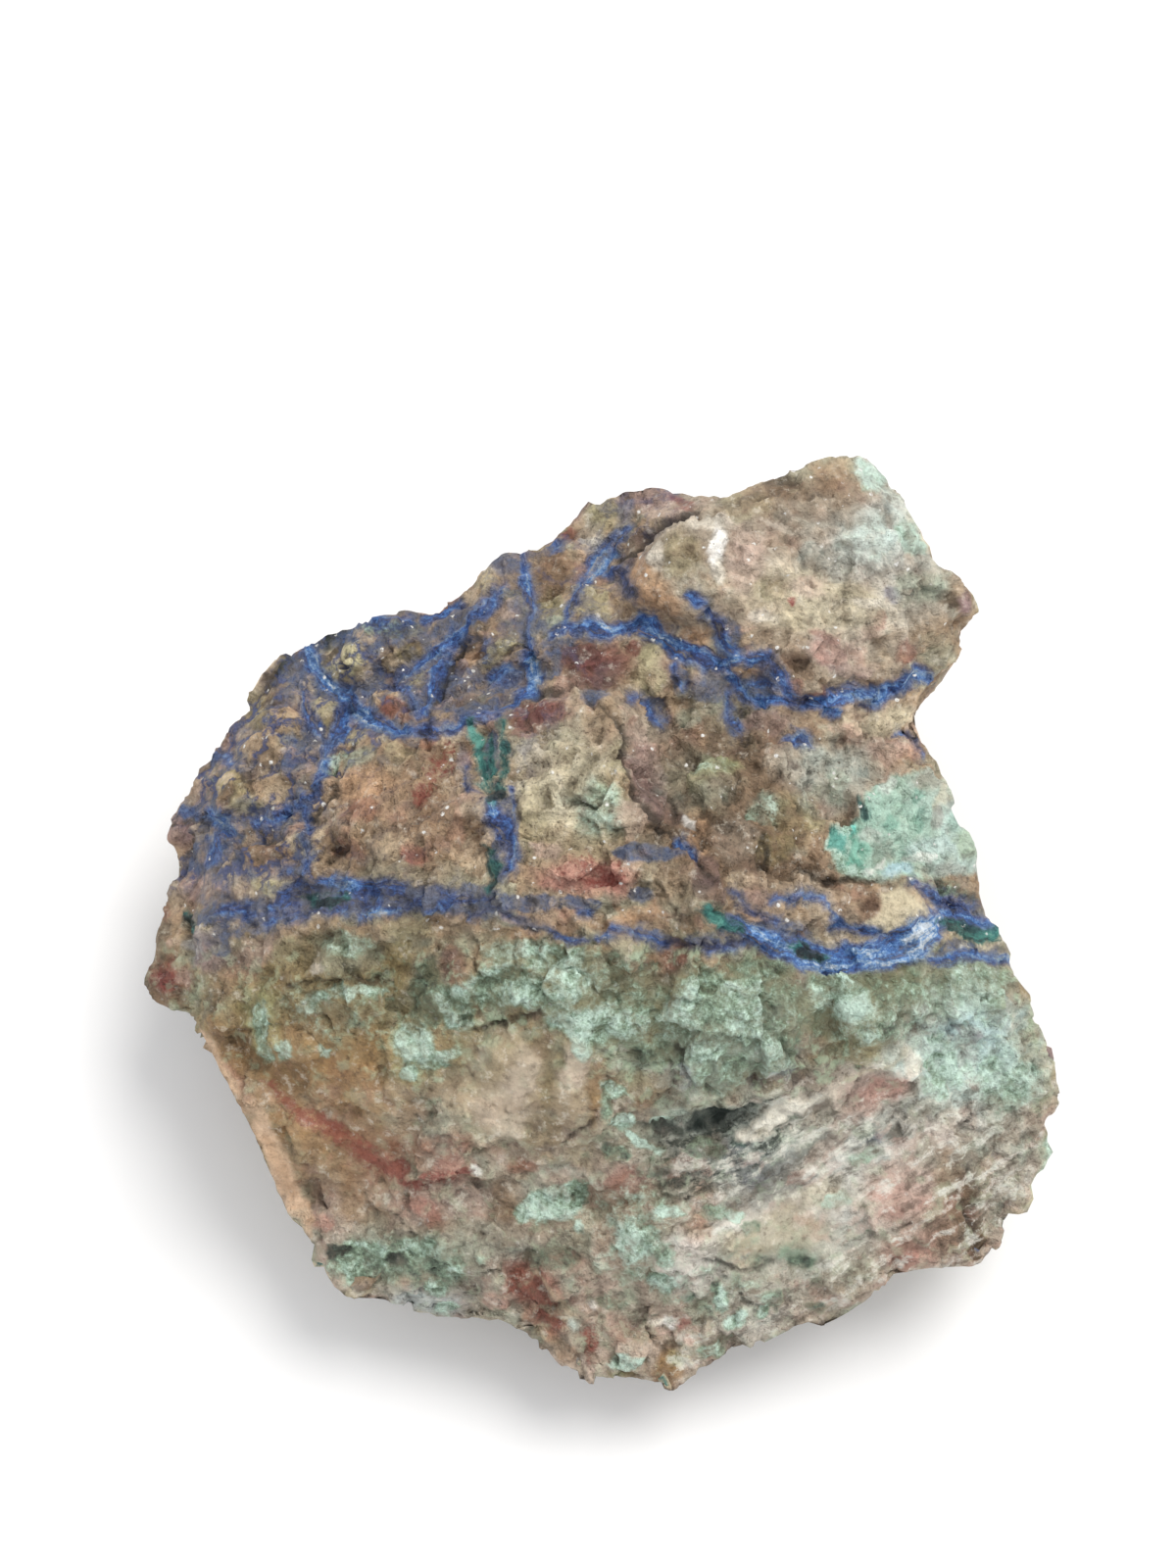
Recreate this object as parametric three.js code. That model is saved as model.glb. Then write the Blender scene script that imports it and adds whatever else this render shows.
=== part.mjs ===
// An azurite and malachite specimen: one rough stone broken from a vein breccia, about 95 mm across.
// Millimetres, +Z up. The stone rests on a flat break in the plane z = 0, and the origin is the
// middle of its footprint's box.
//
// The show face is drawn on a plan that leans towards the front. A place on it is [u, v]: u to the
// right and v up the plan. Heights are heights above the resting plane.
import * as THREE from "three";
import { mergeVertices } from "three/addons/utils/BufferGeometryUtils.js";
import { ImprovedNoise } from "three/addons/math/ImprovedNoise.js";

// Driving dimensions.
const leanDeg = 20; // the plan's tilt out of level, rising towards the back
const planHeight = 24; // height of the plan's middle above the resting plane
const drawIn = 1 / 311; // how much the plan narrows for each millimetre towards the show side
const drawTo = 15; // the place up the plan that it narrows to
const hub = { u: 0, v: 2 }; // the middle of the show face's rings
const seat = { x: -0.73, y: -1.8 }; // moves the footprint's middle onto the origin

// How fine the stone is: its surface is an octahedron's, whose middle edge ring becomes the rim.
const rings = 34; // rings of faces between the middle of the show face and the rim
const footRings = 17; // how many of the underside's rings, from its middle, make the flat foot
const settleRounds = 40; // how often the show face's places are evened out

// The outline seen square to the plan, clockwise from the top of the right lobe.
const outline = [
  [27.7, 48.6], [29.0, 48.2], [30.1, 47.2], [31.1, 45.9], [31.9, 44.0], [32.8, 41.9],
  [33.5, 40.1], [35.0, 38.5], [36.6, 37.2], [38.2, 36.2], [39.2, 34.9], [39.5, 33.3],
  [39.2, 32.2], [38.0, 31.2], [37.4, 28.9], [36.3, 27.3], [34.9, 26.6], [34.2, 25.4],
  [33.3, 23.9], [33.2, 22.6], [32.3, 21.0], [32.3, 19.8], [33.3, 18.4], [34.3, 17.8],
  [35.6, 15.3], [36.8, 13.4], [37.3, 12.0], [39.2, 9.9], [39.9, 9.0], [39.6, 6.1],
  [40.0, 3.8], [40.8, 1.4], [42.0, 0.2], [42.6, -1.1], [43.2, -4.2], [44.5, -5.7],
  [45.5, -7.6], [45.8, -9.4], [47.0, -11.2], [47.1, -13.2], [48.5, -16.0], [48.4, -17.8],
  [47.8, -18.8], [46.6, -19.5], [46.5, -23.0], [46.0, -25.0], [44.8, -25.5], [43.9, -28.1],
  [42.7, -30.0], [41.8, -33.0], [40.9, -34.3], [40.0, -34.7], [38.4, -34.2], [34.3, -34.6],
  [30.2, -35.8], [27.0, -38.0], [22.1, -40.4], [19.4, -41.0], [14.1, -43.5], [10.2, -45.8],
  [8.8, -47.4], [7.0, -46.7], [5.6, -45.8], [1.5, -46.0], [-0.8, -45.5], [-4.3, -43.0],
  [-6.1, -41.7], [-7.6, -40.0], [-9.9, -39.2], [-15.0, -38.7], [-19.6, -38.1], [-25.0, -37.9],
  [-26.2, -35.6], [-29.0, -30.8], [-32.4, -25.4], [-34.5, -20.5], [-37.2, -15.0], [-39.5, -10.2],
  [-40.4, -8.4], [-41.7, -8.0], [-43.3, -7.8], [-45.3, -7.0], [-46.1, -5.6], [-44.8, -3.3],
  [-44.3, -0.8], [-43.9, 1.4], [-43.0, 4.3], [-41.6, 5.7], [-41.4, 6.7], [-43.0, 9.8],
  [-43.2, 10.8], [-42.1, 12.0], [-40.9, 13.9], [-40.1, 15.9], [-38.6, 16.9], [-36.6, 21.0],
  [-34.9, 22.0], [-33.5, 24.1], [-32.6, 24.8], [-31.8, 27.1], [-29.3, 28.9], [-27.1, 30.6],
  [-23.9, 31.3], [-20.8, 32.4], [-18.6, 32.3], [-16.0, 32.0], [-14.0, 32.8], [-12.0, 35.0],
  [-10.7, 36.7], [-8.8, 39.0], [-4.9, 39.0], [-3.8, 40.0], [-1.4, 41.9], [0.9, 43.8],
  [3.2, 45.2], [6.6, 45.7], [8.6, 45.6], [10.1, 44.9], [13.3, 44.3], [16.7, 45.6],
  [20.9, 47.3], [23.5, 48.0],
];

// Heights of the show face, as [u, v, height].
const heightBlend = 5.5; // how far each height is felt
const heights = [
  // The shoulder that carries the main vein, from left to right.
  [-40, -1, 24], [-35, 1.5, 29], [-28, 3.5, 34], [-18, 4, 38.5], [-10, 3, 40.5], [0, 1.5, 41.5],
  [10, 0, 40.5], [20, -2, 38], [30, -2, 34], [41, -0.5, 28],
  // The blocks behind the shoulder.
  [-30, 9, 32], [-20, 12, 38], [-12, 12, 40], [-4, 14, 42], [3, 10, 41], [8, 14, 39],
  [16, 13, 38], [24, 8, 36], [30, 11, 31], [38, 10, 27], [31, 4, 32], [-15, 20, 37],
  [0, 20, 41.5], [12, 20, 37], [22, 18, 35], [31, 20, 31],
  // The valley of the upper vein, and the right lobe behind it.
  [-4, 25, 40], [5, 29, 38], [13, 26, 35], [20, 24, 34], [28, 24, 32], [34, 26, 29],
  [5, 35, 40], [13, 38, 44], [21, 38, 43], [25, 31, 39], [30, 39, 39], [37, 34, 33],
  [28, 46, 35], [16, 43, 40], [22, 46, 37],
  // The knob and the breccia slope at the upper left.
  [6, 44, 33], [0, 41, 32], [-4, 34, 35], [-9, 37, 30], [-12, 33, 30], [-17, 29, 30],
  [-20, 31, 26], [-25, 26, 28], [-30, 26, 23], [-33, 19, 25], [-27, 15, 32], [-17, 24, 34],
  [-10, 27, 36], [-37, 12, 23], [-37, 5, 25], [-42, 10, 17], [-42, 2, 18], [-45, -5, 15],
  // The front face, falling from the shoulder to the front edge.
  [-36, -6, 26], [-25, -4, 33], [-31, -15, 22], [-20, -11, 30], [-10, -6, 35.5], [-10, -15, 30],
  [-16, -20, 24], [0, -6, 37.5], [0, -15, 31.5], [10, -6, 36.5], [10, -14, 30], [20, -10, 32],
  [30, -9, 29], [40, -6, 25], [46, -15, 19], [40, -19, 20.5], [30, -19, 23.5], [19, -19, 24],
  [5, -22, 25], [10, -26, 22.5], [-2, -28, 20], [-11, -28, 19], [-20, -30, 17], [-26, -37, 13],
  [-15, -38, 13], [0, -43, 12.5], [9, -46, 11.5], [20, -39, 13], [30, -33, 15], [40, -33, 13],
  [45, -25, 15], [20, -30, 18], [31, -27, 18.5],
];

// Steps in the show face. The side on the left of each line, walking along it, stands higher by
// rise, and the step dies away over reach on both sides.
const ledges = [
  { name: "step right of the middle block", rise: -2.6, reach: 7,
    line: [[4, 23], [4.6, 18], [6, 14], [9, 8.6], [11.8, 4.2]] },
  { name: "front of the right lobe", rise: 3.2, reach: 8,
    line: [[4.2, 34.5], [6.5, 31.8], [12, 31], [16.5, 27], [20, 24.8], [27, 24.6], [34, 26.5]] },
  { name: "left side of the right lobe", rise: -5, reach: 7,
    line: [[4.2, 35.5], [5, 39.5], [8.5, 42], [11.5, 44.5]] },
  { name: "green vein wall", rise: -1.6, reach: 6,
    line: [[-8.2, 21.5], [-8.3, 12], [-7.6, 4.6]] },
  { name: "edge of the middle left block", rise: -1.4, reach: 5,
    line: [[-9, 20], [-17, 18.6], [-22, 15], [-28, 10.5], [-29, 5]] },
  { name: "left flank", rise: 5.5, reach: 6,
    line: [[-33, 23], [-37.6, 15], [-38.8, 8], [-39.6, 0], [-40.2, -5.5], [-40.6, -9]] },
  { name: "brown ledge over the pale facet", rise: -3, reach: 6,
    line: [[22, 15], [24, 10], [29, 7.4], [34.2, 3], [34.6, 0.6]] },
  { name: "lower edge of the upper blocks", rise: 1.5, reach: 4,
    line: [[-28.5, 4.6], [-18, 5.2], [-8, 4.2], [2, 2.2], [10, 1], [22, 0.2], [33, -0.2]] },
  { name: "crack under the left shoulder", rise: 1.2, reach: 3.5,
    line: [[-30, -6], [-24, -4.6], [-15, -5], [-7, -8.6], [-3, -8]] },
  { name: "slanting groove of the front face", rise: 2.2, reach: 5,
    line: [[-1, -23], [3, -20], [11, -19], [16, -18.4], [27, -14.4], [41, -12]] },
  { name: "fold above the front tip", rise: 1.6, reach: 4,
    line: [[-9, -38], [-4, -36], [1, -39.5], [4, -44]] },
  { name: "notch at the front right corner", rise: -2, reach: 4,
    line: [[37, -20], [39.4, -27], [39.8, -35]] },
];
const ledgeWidth = 1.1; // half the width of the break between the two levels

// Pits in the show face, as [u, v, radius, depth].
const pits = [
  [13.5, -18.6, 3.2, 2.2], [8, -20.6, 2.6, 1.6], [2.6, 38.6, 3, 1.6], [-16.6, 28.4, 2.2, 1.2],
  [9.6, 16.4, 2.6, 1.2], [25, -11.6, 2.2, 0.9], [-7, -10.4, 2.4, 0.9], [39.6, -31, 2.4, 1.4],
];

// Chips: the stone breaks in small flat faces, each tilted its own way.
const chips = [
  { across: 13, tilt: 0.26, step: 0.9, seed: 3 },
  { across: 5.5, tilt: 0.34, step: 0.5, seed: 8 },
];
const chipEdge = 0.13; // width of the edge between two chips, as a share of their size
const brokenEdge = { width: 3.2, drop: 1.6 }; // the rim is broken down to this depth over this width

// The underside. The flank draws in by these shares of the outline between the rim and the foot:
// evenly at first, and more near the foot. It also loses the rim's small corners on the way down.
const frontDraw = { even: 0.14, late: 0.12 };
const backDraw = { even: 0.04, late: 0.08 };
const lateness = 4; // how late the second share comes
const footMiddle = new THREE.Vector3(1, -2, 0);
const cornersGone = 0.9; // how far down the rim's small corners are gone
const cornerSpread = 6; // the flank's outline is an average over this many rim vertices each way
const flankNoise = { coarse: 1.4, fine: 0.5 };
const flankStart = 0.3; // the flank's lumps and breaks reach their full depth this far down
const leastRim = 6; // no part of the rim comes nearer to the resting plane

// Flat breaks of the flank: the bearing that each faces, how far it leans under, and how far in
// from the outline's outermost place it passes at breakLevel.
const breakLevel = 14;
const breaks = [
  { bearingDeg: 5, under: 16, cut: 2.4 }, { bearingDeg: 34, under: 20, cut: 4.5 },
  { bearingDeg: 64, under: 8, cut: 5 }, { bearingDeg: 104, under: -4, cut: 2.5 },
  { bearingDeg: 138, under: 10, cut: 2 }, { bearingDeg: 168, under: 18, cut: 3 },
  { bearingDeg: 204, under: 24, cut: 2.2 }, { bearingDeg: 236, under: 30, cut: 1.2 },
  { bearingDeg: 276, under: 34, cut: 1.6 }, { bearingDeg: 306, under: 30, cut: 1.4 },
  { bearingDeg: 338, under: 28, cut: 2 },
];

const radians = THREE.MathUtils.degToRad;
const { clamp, lerp, smoothstep } = THREE.MathUtils;
const noise = new ImprovedNoise();

// Creased noise between about -1 and 1, with sharp crests.
function crease(x, y, z, size) {
  return 1 - 2.6 * Math.abs(noise.noise(x / size, y / size, z / size));
}

// The chip that each place lies on is the one with the nearest middle. Near an edge the two blend.
function chipHeight({ across, tilt, step, seed }, u, v) {
  const column = Math.floor(u / across);
  const row = Math.floor(v / across);
  let sum = 0;
  let weights = 0;
  for (let i = column - 1; i <= column + 1; i += 1) {
    for (let j = row - 1; j <= row + 1; j += 1) {
      const own = (turn) => noise.noise(i * 1.37 + turn, j * 1.61 - turn, seed + turn * 2.3);
      const du = u / across - (i + 0.5 + 0.9 * own(0.31));
      const dv = v / across - (j + 0.5 + 0.9 * own(0.77));
      const weight = Math.exp(-(du * du + dv * dv) / chipEdge);
      sum += weight * (across * tilt * 2 * (own(1.13) * du + own(1.71) * dv) + 2 * step * own(2.19));
      weights += weight;
    }
  }
  return sum / weights;
}

// The nearest place of a line to [u, v]: how far off it lies, on which side, and how far past an end.
function besideLine(line, u, v) {
  let best = { off: Infinity };
  for (let i = 0; i + 1 < line.length; i += 1) {
    const [au, av] = line[i];
    const du = line[i + 1][0] - au;
    const dv = line[i + 1][1] - av;
    const length = Math.hypot(du, dv);
    const along = ((u - au) * du + (v - av) * dv) / length;
    const kept = clamp(along, 0, length);
    const off = Math.hypot(u - au - (du * kept) / length, v - av - (dv * kept) / length);
    const isEnd = (i === 0 && along < 0) || (i + 2 === line.length && along > length);
    const side = (du * (v - av) - dv * (u - au)) / length;
    if (off < best.off) best = { off, side, past: isEnd ? Math.abs(along - kept) : 0 };
  }
  return best;
}

function ledgeHeight(ledge, u, v) {
  const { off, side, past } = besideLine(ledge.line, u, v);
  const fade = Math.exp(-off / ledge.reach) * Math.exp(-((past / ledge.reach) ** 2) * 6);
  return 0.5 * ledge.rise * Math.tanh(side / ledgeWidth) * fade;
}

function pitDepth([pu, pv, radius, depth], u, v) {
  return depth * Math.exp(-(((u - pu) ** 2 + (v - pv) ** 2) / radius ** 2));
}

// Height of the show face over the resting plane.
function showHeight(u, v) {
  let sum = 0;
  let weights = 0;
  for (const [hu, hv, height] of heights) {
    const weight = Math.exp(-((u - hu) ** 2 + (v - hv) ** 2) / (2 * heightBlend ** 2));
    sum += weight * height;
    weights += weight;
  }
  const steps = ledges.reduce((total, ledge) => total + ledgeHeight(ledge, u, v), 0);
  const hollows = pits.reduce((total, pit) => total + pitDepth(pit, u, v), 0);
  const chipped = chips.reduce((total, chip) => total + chipHeight(chip, u, v), 0);
  const fromRim = besideLine(closedOutline, u, v).off / brokenEdge.width;
  const broken = brokenEdge.drop * clamp(1 - fromRim, 0, 1) ** 2;
  const height = sum / weights + steps - hollows + chipped + 0.4 * crease(u, v, 3, 7) - broken;
  return Math.max(height, leastRim);
}

// The place in the part's frame of the point of the plan [u, v] that lies at a height.
const leanSin = Math.sin(radians(leanDeg));
const leanCos = Math.cos(radians(leanDeg));
function planPoint(u, v, height) {
  const rise = (height - planHeight - v * leanSin) / (leanCos - (v - drawTo) * leanSin * drawIn);
  const narrowed = 1 - rise * drawIn;
  const up = drawTo + (v - drawTo) * narrowed;
  return new THREE.Vector3(u * narrowed, up * leanCos - rise * leanSin, height);
}

// The rim's vertices, spread evenly along the outline and then moved to its corners.
const closedOutline = [...outline, outline[0]];
const spans = outline.map((corner, i) => {
  const next = closedOutline[i + 1];
  return Math.hypot(next[0] - corner[0], next[1] - corner[1]);
});
const girth = spans.reduce((total, span) => total + span, 0);

function outlineAt(along) {
  let left = along;
  for (let i = 0; i < spans.length; i += 1) {
    if (left <= spans[i]) {
      const corner = new THREE.Vector2(...outline[i]);
      return corner.lerp(new THREE.Vector2(...closedOutline[i + 1]), left / spans[i]);
    }
    left -= spans[i];
  }
  return new THREE.Vector2(...outline[0]);
}

function makeRim() {
  const count = 4 * rings;
  const pitch = girth / count;
  const rim = [];
  for (let i = 0; i < count; i += 1) rim.push({ along: i * pitch, moved: false });
  let along = 0;
  spans.forEach((span) => {
    const nearest = Math.round(along / pitch) % count;
    if (!rim[nearest].moved) {
      rim[nearest].along = along;
      rim[nearest].moved = true;
    }
    along += span;
  });
  return rim.map((place) => outlineAt(place.along));
}

// The same number of places, each the average of its neighbours, so without small corners.
function withoutCorners(edge) {
  return edge.map((own, i) => {
    const sum = new THREE.Vector3();
    for (let k = -cornerSpread; k <= cornerSpread; k += 1) {
      sum.add(edge[(i + k + edge.length) % edge.length]);
    }
    return sum.divideScalar(2 * cornerSpread + 1).setZ(own.z);
  });
}

// Where each vertex of the octahedron comes on the stone: its ring, counted from the nearer pole,
// and how far it lies round that ring, from 0 to 1. The outline runs clockwise from its top.
function octahedronPlace(direction) {
  const { x, y, z } = direction;
  const size = Math.abs(x) + Math.abs(y) + Math.abs(z);
  const ring = Math.round(rings * (1 - Math.abs(z) / size));
  const flat = Math.abs(x) + Math.abs(y);
  let round = 0;
  if (ring > 0) {
    if (x >= 0 && y > 0) round = x / flat;
    else if (x > 0) round = 1 - y / flat;
    else if (y < 0) round = 2 - x / flat;
    else round = 3 + y / flat;
  }
  return { ring, round: (round / 4) % 1, isShow: z > -1e-6 };
}

function rimAt(rim, round) {
  const place = round * rim.length;
  const before = Math.floor(place + 1e-6) % rim.length;
  const share = Math.max(place - Math.floor(place + 1e-6), 0);
  return rim[before].clone().lerp(rim[(before + 1) % rim.length], share);
}

// Evens out the show face's places, so that its faces are much the same size.
function settle(places, faces) {
  const near = places.map(() => new Set());
  for (let i = 0; i < faces.count; i += 3) {
    const corners = [faces.getX(i), faces.getX(i + 1), faces.getX(i + 2)];
    corners.forEach((a) => corners.forEach((b) => a !== b && near[a].add(b)));
  }
  for (let round = 0; round < settleRounds; round += 1) {
    places.forEach((place, i) => {
      if (!place.isShow || place.ring === rings) return;
      const all = [...near[i]];
      place.u = all.reduce((total, k) => total + places[k].u, 0) / all.length;
      place.v = all.reduce((total, k) => total + places[k].v, 0) / all.length;
    });
  }
}

// Each break with the way that it faces and how far out it lies.
function placeBreaks(bare) {
  return breaks.map(({ bearingDeg, under, cut }) => {
    const bearing = radians(bearingDeg);
    const facing = new THREE.Vector3(Math.cos(bearing), Math.sin(bearing), 0);
    const outermost = Math.max(...bare.map((place) => place.clone().sub(footMiddle).dot(facing)));
    return { facing, slope: Math.tan(radians(under)), out: outermost - cut };
  });
}

// A point of the flank or the foot. The rim's point above it is on edge, and the same point of the
// outline without its small corners is on bare.
function underPoint({ ring, round }, edge, bare, flats) {
  const down = clamp((rings - ring) / (rings - footRings), 0, 1);
  const over = rimAt(edge, round);
  const top = over.clone().lerp(rimAt(bare, round), smoothstep(down, 0, cornersGone));
  const outward = new THREE.Vector3(top.x - footMiddle.x, top.y - footMiddle.y, 0);
  const backward = 0.5 + (0.5 * outward.y) / outward.length();
  const drawn = lerp(frontDraw.even, backDraw.even, backward) * down
    + lerp(frontDraw.late, backDraw.late, backward) * down ** lateness;
  const height = over.z * (1 - down);
  const point = outward.clone().multiplyScalar(1 - drawn).setZ(height);
  const roughness = Math.min(1, down / flankStart);
  const lump = flankNoise.coarse * (noise.noise(point.x / 10, point.y / 10, height / 10) - 0.35)
    + flankNoise.fine * (crease(point.x, point.y, height, 5) - 1);
  point.addScaledVector(outward.normalize(), roughness * lump);
  for (const { facing, slope, out } of flats) {
    const beyond = Math.max(0, point.dot(facing) - out + (breakLevel - height) * slope);
    point.addScaledVector(facing, -beyond * roughness);
  }
  const inFoot = ring < footRings ? ring / footRings : 1;
  return point.set(
    footMiddle.x + point.x * inFoot,
    footMiddle.y + point.y * inFoot,
    height,
  );
}

function makeStone() {
  const octahedron = new THREE.OctahedronGeometry(1, rings - 1);
  octahedron.deleteAttribute("normal");
  octahedron.deleteAttribute("uv");
  const geometry = mergeVertices(octahedron, 1e-4);
  const position = geometry.getAttribute("position");
  const rim = makeRim();
  const places = [];
  for (let i = 0; i < position.count; i += 1) {
    const place = octahedronPlace(new THREE.Vector3().fromBufferAttribute(position, i));
    const edge = rimAt(rim, place.round);
    const share = place.isShow ? place.ring / rings : 1;
    places.push({ ...place, u: lerp(hub.u, edge.x, share), v: lerp(hub.v, edge.y, share) });
  }
  settle(places, geometry.getIndex());
  const edge = rim.map(({ x, y }) => planPoint(x, y, showHeight(x, y)));
  const bare = withoutCorners(edge);
  const flats = placeBreaks(bare);
  places.forEach((place, i) => {
    const point = place.isShow
      ? planPoint(place.u, place.v, showHeight(place.u, place.v))
      : underPoint(place, edge, bare, flats);
    position.setXYZ(i, point.x + seat.x, point.y + seat.y, point.z);
  });
  geometry.computeVertexNormals();
  return geometry;
}

const stoneFinish = new THREE.MeshStandardMaterial({ color: 0x8f8468, roughness: 0.85, metalness: 0 });
const stone = new THREE.Mesh(makeStone(), stoneFinish);
stone.name = "stone";

const specimen = new THREE.Group();
specimen.add(stone);
export default specimen;
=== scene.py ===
import math
from functools import partial

import bmesh
import bpy
import numpy as np
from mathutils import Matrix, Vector


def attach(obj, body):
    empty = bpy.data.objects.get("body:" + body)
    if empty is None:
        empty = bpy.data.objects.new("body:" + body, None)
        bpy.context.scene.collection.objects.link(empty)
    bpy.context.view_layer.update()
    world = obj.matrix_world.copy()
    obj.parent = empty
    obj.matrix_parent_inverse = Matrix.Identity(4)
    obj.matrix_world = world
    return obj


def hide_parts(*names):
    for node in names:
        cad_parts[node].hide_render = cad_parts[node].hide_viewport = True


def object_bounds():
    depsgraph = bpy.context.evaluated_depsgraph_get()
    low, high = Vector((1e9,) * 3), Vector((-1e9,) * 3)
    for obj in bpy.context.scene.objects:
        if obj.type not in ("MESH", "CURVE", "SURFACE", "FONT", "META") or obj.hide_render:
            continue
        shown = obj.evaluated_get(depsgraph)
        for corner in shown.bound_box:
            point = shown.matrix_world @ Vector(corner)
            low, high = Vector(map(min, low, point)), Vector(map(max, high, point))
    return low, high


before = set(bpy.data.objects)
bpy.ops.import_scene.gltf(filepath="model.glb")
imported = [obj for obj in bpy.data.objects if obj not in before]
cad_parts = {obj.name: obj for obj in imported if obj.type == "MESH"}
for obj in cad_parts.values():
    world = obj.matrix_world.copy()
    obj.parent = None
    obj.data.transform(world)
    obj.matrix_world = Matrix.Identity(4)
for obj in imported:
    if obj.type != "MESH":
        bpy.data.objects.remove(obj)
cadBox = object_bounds()
print("frame loaded", sorted(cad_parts))

perMetre = 1000  # millimetres in a metre

# The show face is painted on a plan that leans towards the front. A place on it is (u, v) in
# millimetres: u to the right and v up the plan.
plan = {
    "leanDeg": 20,  # tilt of the plan out of level
    "middle": (-0.73, -1.8, 24.0),  # where (0, 0) lies in the stone's own frame, mm
    "drawTo": 15.0,  # the place up the plan that the view narrows to
    "viewDistance": 311.0,
    "pictureHeight": 160.0,  # what the camera takes in from top to bottom, mm
}
lean = math.radians(plan["leanDeg"])
planRight = np.array([1.0, 0.0, 0.0])
planUp = np.array([0.0, math.cos(lean), math.sin(lean)])
planOut = np.array([0.0, -math.sin(lean), math.cos(lean)])

# Colours of the rock and of what grew on it.
tints = {
    "tan": "#B0977A",
    "paleTan": "#CDB89A",
    "orangeTan": "#C59F7C",
    "ochre": "#97764C",
    "warmTan": "#B08E6A",
    "litStripTan": "#DEBE9F",
    "brown": "#8B7159",
    "darkBrown": "#4E3E2C",
    "olive": "#94875F",
    "khaki": "#B3AA86",
    "cream": "#D6C9AA",
    "paleCream": "#EDE4D2",
    "white": "#FAF6EE",
    "ivory": "#FAF5E4",
    "quartz": "#B3A68D",
    "cloudy": "#D2C4B3",
    "pink": "#C38F80",
    "palePink": "#D0B5A6",
    "red": "#A2524C",
    "darkRed": "#7E3C39",
    "redBrown": "#8A5445",
    "mauve": "#9A7F7D",
    "darkMauve": "#5E4B47",
    "violetGrey": "#9592A0",
    "slate": "#6B7389",
    "blueGrey": "#6A7FA8",
    "greyTan": "#B0A594",
    "grey": "#ABB1A6",
    "paleGrey": "#DAD9CF",
    "darkGrey": "#66635B",
    "greenGrey": "#9FA994",
    "paleGreen": "#B4C6A6",
    "mint": "#B7D8C6",
    "turquoise": "#74BFA8",
    "brightTurquoise": "#78DCCC",
    "blueMist": "#B4D4DC",
    "paleTurquoise": "#CFE4DB",
    "jade": "#5C9B86",
    "darkGreen": "#3A5A4C",
    "blackGreen": "#252F2A",
    "yellowGreen": "#A8AC78",
}


def linearColour(hexText):
    parts = [int(hexText[i : i + 2], 16) / 255 for i in (1, 3, 5)]
    return tuple(c / 12.92 if c <= 0.04045 else ((c + 0.055) / 1.055) ** 2.4 for c in parts)


def smoothStep(low, high, value):
    share = np.clip((value - low) / (high - low), 0.0, 1.0)
    return share * share * (3 - 2 * share)


noiseTable = 256  # random numbers that a noise draws on, over and over
noiseGain = 1.6  # brings the noise out to about -1 to 1
farOff = 99.0  # farther than any place is from a line or a chip


def unitSlopes(random):
    slopes = random.normal(size=(noiseTable, 3))
    return slopes / np.linalg.norm(slopes, axis=1)[:, None]


# The place in the table that belongs to each cell.
def cellPick(order, cell):
    x, y, z = cell.T % noiseTable
    return order[(order[(order[x] + y) % noiseTable] + z) % noiseTable]


# Gradient noise of about -1 to 1, with lumps of the given size in millimetres.
def gradientNoise(places, size, seed):
    random = np.random.default_rng(seed)
    order = random.permutation(noiseTable)
    slopes = unitSlopes(random)
    scaled = places / size
    cell = np.floor(scaled).astype(int)
    part = scaled - cell
    ease = part * part * part * (part * (part * 6 - 15) + 10)
    total = np.zeros(len(places))
    for corner in range(8):  # of the cell that the place is in
        step = np.array([corner % 2, corner // 2 % 2, corner // 4])
        weight = np.prod(np.where(step, ease, 1 - ease), axis=1)
        total += weight * np.einsum("ij,ij->i", slopes[cellPick(order, cell + step)], part - step)
    return total * noiseGain


# Noise with finer and weaker layers on it.
def roughNoise(places, size, seed, octaves=4, fade=0.55):
    total = np.zeros(len(places))
    for octave in range(octaves):
        total += fade**octave * gradientNoise(places, size / 2**octave, seed + octave)
    return total


# Small flat breaks: each place takes the tilted face of its nearest chip.
def chipRelief(places, across, tilt, seed):
    random = np.random.default_rng(seed)
    order = random.permutation(noiseTable)
    middles = random.uniform(0.1, 0.9, (noiseTable, 3))
    slopes = unitSlopes(random)
    rises = random.uniform(-0.5, 0.5, noiseTable)
    scaled = places / across
    cell = np.floor(scaled).astype(int)
    nearest = np.full(len(places), farOff)
    relief = np.zeros(len(places))
    for corner in range(27):  # the place's own cell and those around it
        step = np.array([corner % 3, corner // 3 % 3, corner // 9]) - 1
        pick = cellPick(order, cell + step)
        away = scaled - (cell + step) - middles[pick]
        off = np.einsum("ij,ij->i", away, away)
        face = across * tilt * (np.einsum("ij,ij->i", slopes[pick], away) + rises[pick])
        relief = np.where(off < nearest, face, relief)
        nearest = np.minimum(off, nearest)
    return relief


lineShift = 40  # between the noise of one line and the next, mm


# How far each place lies outside a line of the given widths, in millimetres, less than nothing
# inside it, and how far along and across the line it is.
def besideLine(u, v, line):
    best = np.full(len(u), farOff)
    flow = np.zeros((2, len(u)))
    walked = 0.0  # length of the line's earlier parts
    for (au, av, aw), (bu, bv, bw) in zip(line, line[1:]):
        du, dv = bu - au, bv - av
        length = math.hypot(du, dv)
        along = np.clip(((u - au) * du + (v - av) * dv) / length**2, 0, 1)
        off = np.hypot(u - au - along * du, v - av - along * dv) - (aw + along * (bw - aw)) / 2
        across = (du * (v - av) - dv * (u - au)) / length
        flow = np.where(off < best, [walked + along * length, across], flow)
        best = np.minimum(best, off)
        walked += length
    return best, flow


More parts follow.
